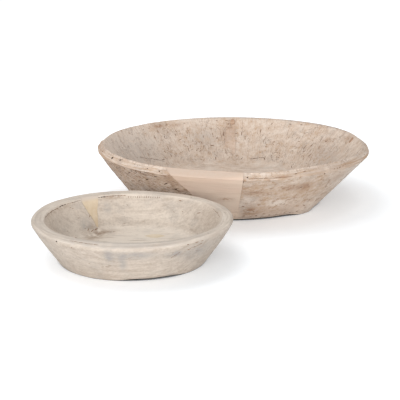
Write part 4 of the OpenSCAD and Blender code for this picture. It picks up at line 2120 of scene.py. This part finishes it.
def large_bowl() -> LargeBowl:
    """Set up the wide bowl with the marks and tints that its surfaces show."""
    shape = BowlShape(
        rim_r=305 * MM, height=129 * MM, foot_r=207 * MM, wall_t=21.5 * MM, floor_t=28 * MM,
        rim_drop=13 * MM, out_round=3 * MM, in_round=3 * MM, foot_round=4 * MM,
        cove_r=20 * MM, wall_step=3.4 * MM,
    )
    bowl = LargeBowl(
        shape, foot_middle("large_bowl_body"), "large_bowl", seed=7, spin_steps=70, rim_reach=8 * MM,
    )
    inside, outside, rim, floor = Face.INSIDE, Face.OUTSIDE, Face.RIM, Face.FLOOR
    bowl.strews = [
        Strew(inside, 130, (5, 175), (36, 120), (3, 8), 1.1, 0.55, (90, 30), factor=(0.6, 1.4)),
        Strew(inside, 60, (175, 365), (36, 120), (3, 9), 1.4, 0.9, (90, 30)),
        Strew(outside, 150, (-185, -104), (8, 108), (6, 18), (0.9, 1.9), (0.6, 1.2), (0, 14)),
        Strew(outside, 36, (-84, 160), (8, 106), (3, 10), (0.8, 1.4), 0.6, (0, 30)),
        Strew(rim, 30, (0, 360), (284, 300), (3, 14), 1.2, 0.7, (0, 6)),
    ]
    for bearing, level, length, tilt in (
        (124, 118, 10, 0), (119, 116, 6, 0), (139, 116, 7, 0), (135, 116, 6, 10), (114, 118, 6, 0),
        (100, 103, 6, 80), (97, 120, 7, 0), (92, 120, 8, 0), (91, 113, 6, 80), (120, 103, 8, 90),
        (121, 95, 10, 90), (134, 97, 12, 90), (128, 94, 10, 90), (150, 117, 9, 90), (117, 78, 7, 90),
        (117, 70, 7, 60), (116, 68, 6, 120), (116, 63, 8, 80), (118, 73, 6, 30), (116, 59, 7, 100),
        (114, 61, 6, 20), (111, 59, 7, 10), (109, 57, 7, 30), (107, 74, 9, 90), (106, 67, 7, 0),
        (119, 85, 10, 5), (115, 87, 6, 90), (110, 62, 6, 60), (136, 49, 12, 0), (129, 54, 10, 90),
        (100, 40, 12, 90), (94, 91, 14, 80), (98, 83, 7, 40), (101, 67, 12, 0), (84, 104, 8, 10),
        (84, 92, 14, 90), (82, 82, 9, 90), (87, 92, 7, 0), (74, 99, 13, 90), (69, 115, 10, 60),
        (59, 118, 8, 0), (53, 120, 10, 0), (83, 40, 9, 45), (51, 65, 6, 0), (52, 73, 5, 0), (51, 75, 6, 0),
        (52, 92, 6, 40), (50, 86, 8, 0), (43, 68, 7, 30), (40, 54, 9, 90), (44, 77, 17, 85),
        (37, 64, 13, 60), (34, 55, 8, 90), (40, 84, 15, 85), (34, 83, 15, 80), (32, 97, 10, 0),
        (30, 103, 7, 40), (46, 34, 9, 120),
    ):
        breadth = 1.5 + 0.06 * length
        bowl.mark(inside, (bearing, level, length, breadth, 0.5 * breadth, tilt))
    bowl.marks += bowl.knot_ring(61, 50 * MM, 11 * MM, 9 * MM, 11)
    bowl.swirls += [Swirl(27, 84 * MM, 60 * MM, 40 * MM), Swirl(61, 50 * MM, 18 * MM, 15 * MM)]
    bowl.mark(
        rim, (-151.6, 296, 8, 6, 6, 0), (-145.6, 293, 8, 5, 6, 0), (-135.6, 293, 4, 1.4, 1.2, 0),
        (-128, 296, 5, 2, 1.4, 0), slot=Slot.HOLE,
    )
    for bearing, level, length in (
        (-48.5, 300, 7), (-46.8, 300, 6), (-45, 299, 8), (-43, 299, 6), (-41.3, 298, 3), (-67, 297, 8),
        (-63, 296, 9), (-165, 297, 8), (-117, 302, 8),
    ):
        bowl.mark(rim, (bearing, level, length, 2.0, 1.4, 8))
    for bearing, level, length, breadth, tilt in (
        (-65, 38, 4, 3, 0), (-87, 40, 8, 3, 0), (-28, 112, 10, 3, 10), (-37, 89, 10, 2, 70),
        (-54, 110, 9, 2, 130), (-76, 85, 7, 2, 0), (-68, 78, 9, 3, 0), (-70.5, 84, 7, 3, 20),
        (-66, 88, 6, 2.4, 60), (-64, 84, 9, 2, 15), (-61.5, 80, 8, 2.6, 160), (-58.5, 84, 7, 2.2, 30),
        (-57, 78, 9, 2, 10), (-84, 30, 8, 3, 20), (-81, 24, 6, 3, 0), (-86, 13, 7, 4, 0), (-82, 10, 5, 3, 30),
        (-79, 12, 6, 4, 0), (-75, 9, 8, 3, 0), (-71, 11, 5, 4, 0), (-66, 9, 8, 3, 0), (-61, 11, 6, 3, 0),
        (-57, 9, 6, 4, 0), (-53, 11, 7, 3, 0), (-50, 24, 14, 1.6, 150), (-149, 108, 6, 3, 70),
        (-146, 104, 8, 3, 60), (-88, 106, 9, 1.8, 90),
    ):
        bowl.mark(outside, (bearing, level, length, breadth, 1.6, tilt))
    for bearing, level, length, tilt in (
        (-151, 109, 9, 75), (-148.5, 101, 10, 80), (-145, 105, 9, 75), (-141, 107, 8, 95),
        (-137, 106, 9, 80), (-134, 107, 10, 100), (-131, 109, 8, 70), (-128, 111, 10, 15),
        (-140, 98, 13, 20), (-124, 104, 12, 10), (-130, 92, 14, 25), (-121, 88, 14, 30),
        (-136, 84, 14, 15), (-117, 77, 12, 35),
    ):
        bowl.mark(outside, (bearing, level, length, 2.4, 1.8, tilt), slot=Slot.HOLE)
    bowl.crack(
        inside, (77.6, 39, 68.7, 45, 5, 1.8, 1.8, 0.8), (68.7, 45, 67.3, 40, 1, 1.8, 1.8, 0.0),
        (154, 66, 136, 46, 9, 1.4, 1.2, 1.5),
    )
    bowl.crack(
        outside, (-86, 112.5, -69, 112.5, 9, 1.6, 0.7, 0.5), (-85, 78, -79, 76, 4, 1.2, 0.6, 1.4),
        (-46, 88, -43, 62, 4, 1.4, 1.2, 0.8), (-152, 111, -141, 110, 7, 1.8, 1.0, 0.9),
        (-139, 111, -124, 112, 9, 1.5, 0.9, 0.9),
    )
    bowl.tint(
        Zone.STAIN, outside, (-68, 84, 16, 9, 1.0), (-60, 81, 20, 12, 1.0), (-82, 76, 22, 5, 0.7),
        (-83, 26, 20, 14, 0.9), (-66, 20, 60, 10, 0.5), (-72, 113, 16, 3, 1.0), (-95, 60, 11, 4, 0.9),
        (-40, 92, 30, 12, 0.5), (-118, 106, 12, 14, 0.5), (-114.5, 84, 12, 14, 0.2),
    )
    bowl.tint(Zone.STAIN, rim, (-48, 297, 120, 24, 0.3), (-172, 296, 70, 24, 0.45))
    bowl.tint(
        Zone.STAIN, inside, (90, 110, 13, 10, 0.8), (129, 118, 18, 4, 0.9), (119, 116, 20, 4, 0.6),
        (94, 88, 8, 16, 0.5), (17, 116, 14, 7, 0.6), (31, 100, 14, 5, 0.5),
    )
    # The spots at bearings -95 and -28 are painted light: they lighten the patch low down, where the small
    # bowl throws light back, and the bowl's right end
    bowl.tint(
        Zone.PALE, outside, (-62, 14, 160, 22, 0.3), (-84, 57, 14, 7, 0.6), (-95, 42, 34, 22, 0.6),
        (-70, 45, 20, 8, 0.7), (-62, 98, 30, 8, 0.3), (-28, 88, 70, 40, 0.62),
    )
    bowl.tint(Zone.PALE, rim, (-35, 297, 100, 20, 0.05), (-140, 296, 80, 20, 0.15))
    # Painted light on the inner left wall, which faces away from the light
    bowl.tint(Zone.PALE, inside, (168, 80, 130, 50, 0.55))
    bowl.tint(Zone.PALE, floor, (0, 0, ALL_ROUND, 260, 0.05))
    # Painted shade: the grey line along the back of the rim, and grey on the rim's front right that tones
    # down the light on its top
    bowl.tint(Zone.GREY, rim, (62, 288, 260, 10, 0.9), (-76, 297, 70, 30, 0.4), (-48, 297, 80, 30, 0.3))
    # The thin grey band along the top of the back inner wall is painted shade under the back rim; the wider
    # spots are grey weather
    bowl.tint(
        Zone.GREY, inside, (62, 128, 260, 3.5, 1.0), (158, 80, 110, 40, 0.5), (105, 84, 40, 24, 0.5),
        (22, 70, 70, 24, 0.5),
    )
    bowl.tint(Zone.SOIL, outside, (-113, 74, 22, 10, 0.15))
    return bowl


def small_bowl() -> SmallBowl:
    """Set up the small bowl with the marks and tints that its surfaces show."""
    shape = BowlShape(
        rim_r=187 * MM, height=80.5 * MM, foot_r=138 * MM, wall_t=23 * MM, floor_t=20 * MM,
        rim_drop=3.5 * MM, out_round=5 * MM, in_round=3 * MM, foot_round=5 * MM,
        cove_r=25 * MM, wall_step=2.7 * MM,
    )
    bowl = SmallBowl(
        shape, foot_middle("small_bowl_body"), "small_bowl", seed=23, spin_steps=60, rim_reach=11 * MM,
    )
    inside, outside, rim, floor = Face.INSIDE, Face.OUTSIDE, Face.RIM, Face.FLOOR
    bowl.strews = [
        Strew(inside, 26, (0, 360), (26, 72), (3, 9), 1.0, 0.5, (0, 12)),
        Strew(outside, 34, (0, 360), (6, 70), (3, 10), 1.0, 0.5, (0, 22)),
        Strew(rim, 10, (0, 360), (168, 178), (3, 9), 0.9, 0.5, (0, 8)),
        Strew(floor, 12, (0, 360), (10, 95), (4, 12), 0.9, 0.5, (0, 6)),
    ]
    for bearing in np.linspace(96, 74, 15):
        bowl.mark(inside, (float(bearing), 75.5, bowl.chance.uniform(3, 7), 1.3, 0.9, 90))
    bowl.mark(outside, (-132, 73, 4.5, 2.6, 3, 0), slot=Slot.HOLE)
    bowl.mark(
        inside, (127.5, 26, 10, 3, 0.9, 12), (132, 25, 12, 2, 0.8, 24), (135.5, 28, 9, 2, 0.8, 40),
        (129, 50, 8, 2, 1.2, 60), (58, 74, 8, 2, 1.2, 0), (37, 61, 12, 2, 1.0, 20),
    )
    bowl.mark(
        outside, (-121, 68, 4, 2, 1.0, 60), (-56, 72, 4, 3, 1.2, 0), (-54, 60, 5, 3, 1.2, 0),
        (-50, 73, 10, 1.8, 1.0, 4), (-46, 73, 8, 1.6, 0.9, 4), (-103, 32, 10, 1.6, 0.9, 0),
        (-101, 35, 8, 1.4, 0.8, 0),
    )
    bowl.crack(inside, (118.5, 79, 112.5, 79, 3, 2.2, 2.0, 0.3), slot=Slot.HOLE)
    bowl.crack(inside, (112.5, 79, 98, 78.5, 7, 1.3, 1.0, 0.5), (183, 77, 155, 78, 10, 1.2, 0.9, 0.5))
    bowl.crack(inside, (154, 78.5, 146, 79, 3, 1.6, 1.4, 0.4), slot=Slot.HOLE)
    bowl.crack(inside, (145, 79, 132, 79, 6, 1.0, 0.8, 0.6))
    bowl.crack(floor, (123, 118, 111, 112, 4, 1.8, 0.6, 1.2))
    bowl.crack(inside, (6, 73, 24, 76, 6, 1.1, 0.6, 0.8))
    bowl.crack(rim, (-124, 178, -106, 178, 6, 1.2, 0.7, 0.6))
    bowl.crack(outside, (-45, 68, -54, 61, 4, 1.6, 0.9, 1.0), (-59.5, 59, -64, 48, 4, 1.4, 0.8, 1.0))
    bowl.swirls += [Swirl(10, 60 * MM, 46 * MM, 24 * MM)]
    bowl.tint(
        Zone.GREY, outside, (-100, 56, 8, 15, 0.8), (-93, 42, 7, 16, 0.7), (-86, 60, 34, 8, 0.8),
        (-45, 50, 30, 16, 0.7), (-62, 56, 18, 7, 0.8),
    )
    bowl.tint(Zone.GREY, rim, (-92, 180, 130, 20, 0.45), (-170, 176, 90, 20, 0.2))
    bowl.tint(Zone.GREY, inside, (113, 60, 8, 9, 0.7), (136, 36, 13, 12, 0.65), (165, 50, 60, 30, 0.2))
    # The two thin bands just under the rim's inner edge at the back are crack grime and painted shade of the
    # rim's edge
    bowl.tint(
        Zone.STAIN, inside, (128, 26, 16, 8, 0.6), (172, 62, 60, 16, 0.25), (18, 58, 40, 22, 0.35),
        (107, 77, 24, 3.5, 0.9), (158, 76, 50, 3.5, 0.8),
    )
    bowl.tint(
        Zone.STAIN, floor, (114, 116, 22, 7, 0.35), (139, 104, 36, 20, 0.75), (132, 114, 22, 12, 0.45),
        (124, 121, 16, 9, 0.4),
    )
    bowl.tint(Zone.SOIL, inside, (129, 27, 13, 8, 0.35), (137, 24, 14, 7, 0.25))
    bowl.tint(Zone.SOIL, floor, (132, 114, 14, 8, 0.25))
    bowl.tint(
        Zone.PALE, inside, (165, 50, 70, 30, 0.12), (80, 52, 110, 26, 0.07), (68, 41, 100, 12, 0.2),
        (150, 36, 40, 14, 0.2),
    )
    bowl.tint(Zone.PALE, floor, (0, 0, ALL_ROUND, 135, 0.9))
    return bowl


def note_size() -> None:
    """Work out the box of the solids and of the dressed model."""
    pairs = {"cad": CAD_BOX, "visual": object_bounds()}
    boxes = {name: [list(corner) for corner in pair] for name, pair in pairs.items()}


def main() -> None:
    """Build the bowls and the studio."""
    logging.basicConfig(level=logging.INFO, format="%(message)s")
    Studio().build()
    large_bowl().build()
    small_bowl().build()
    note_size()


if __name__ == "__main__":
    main()
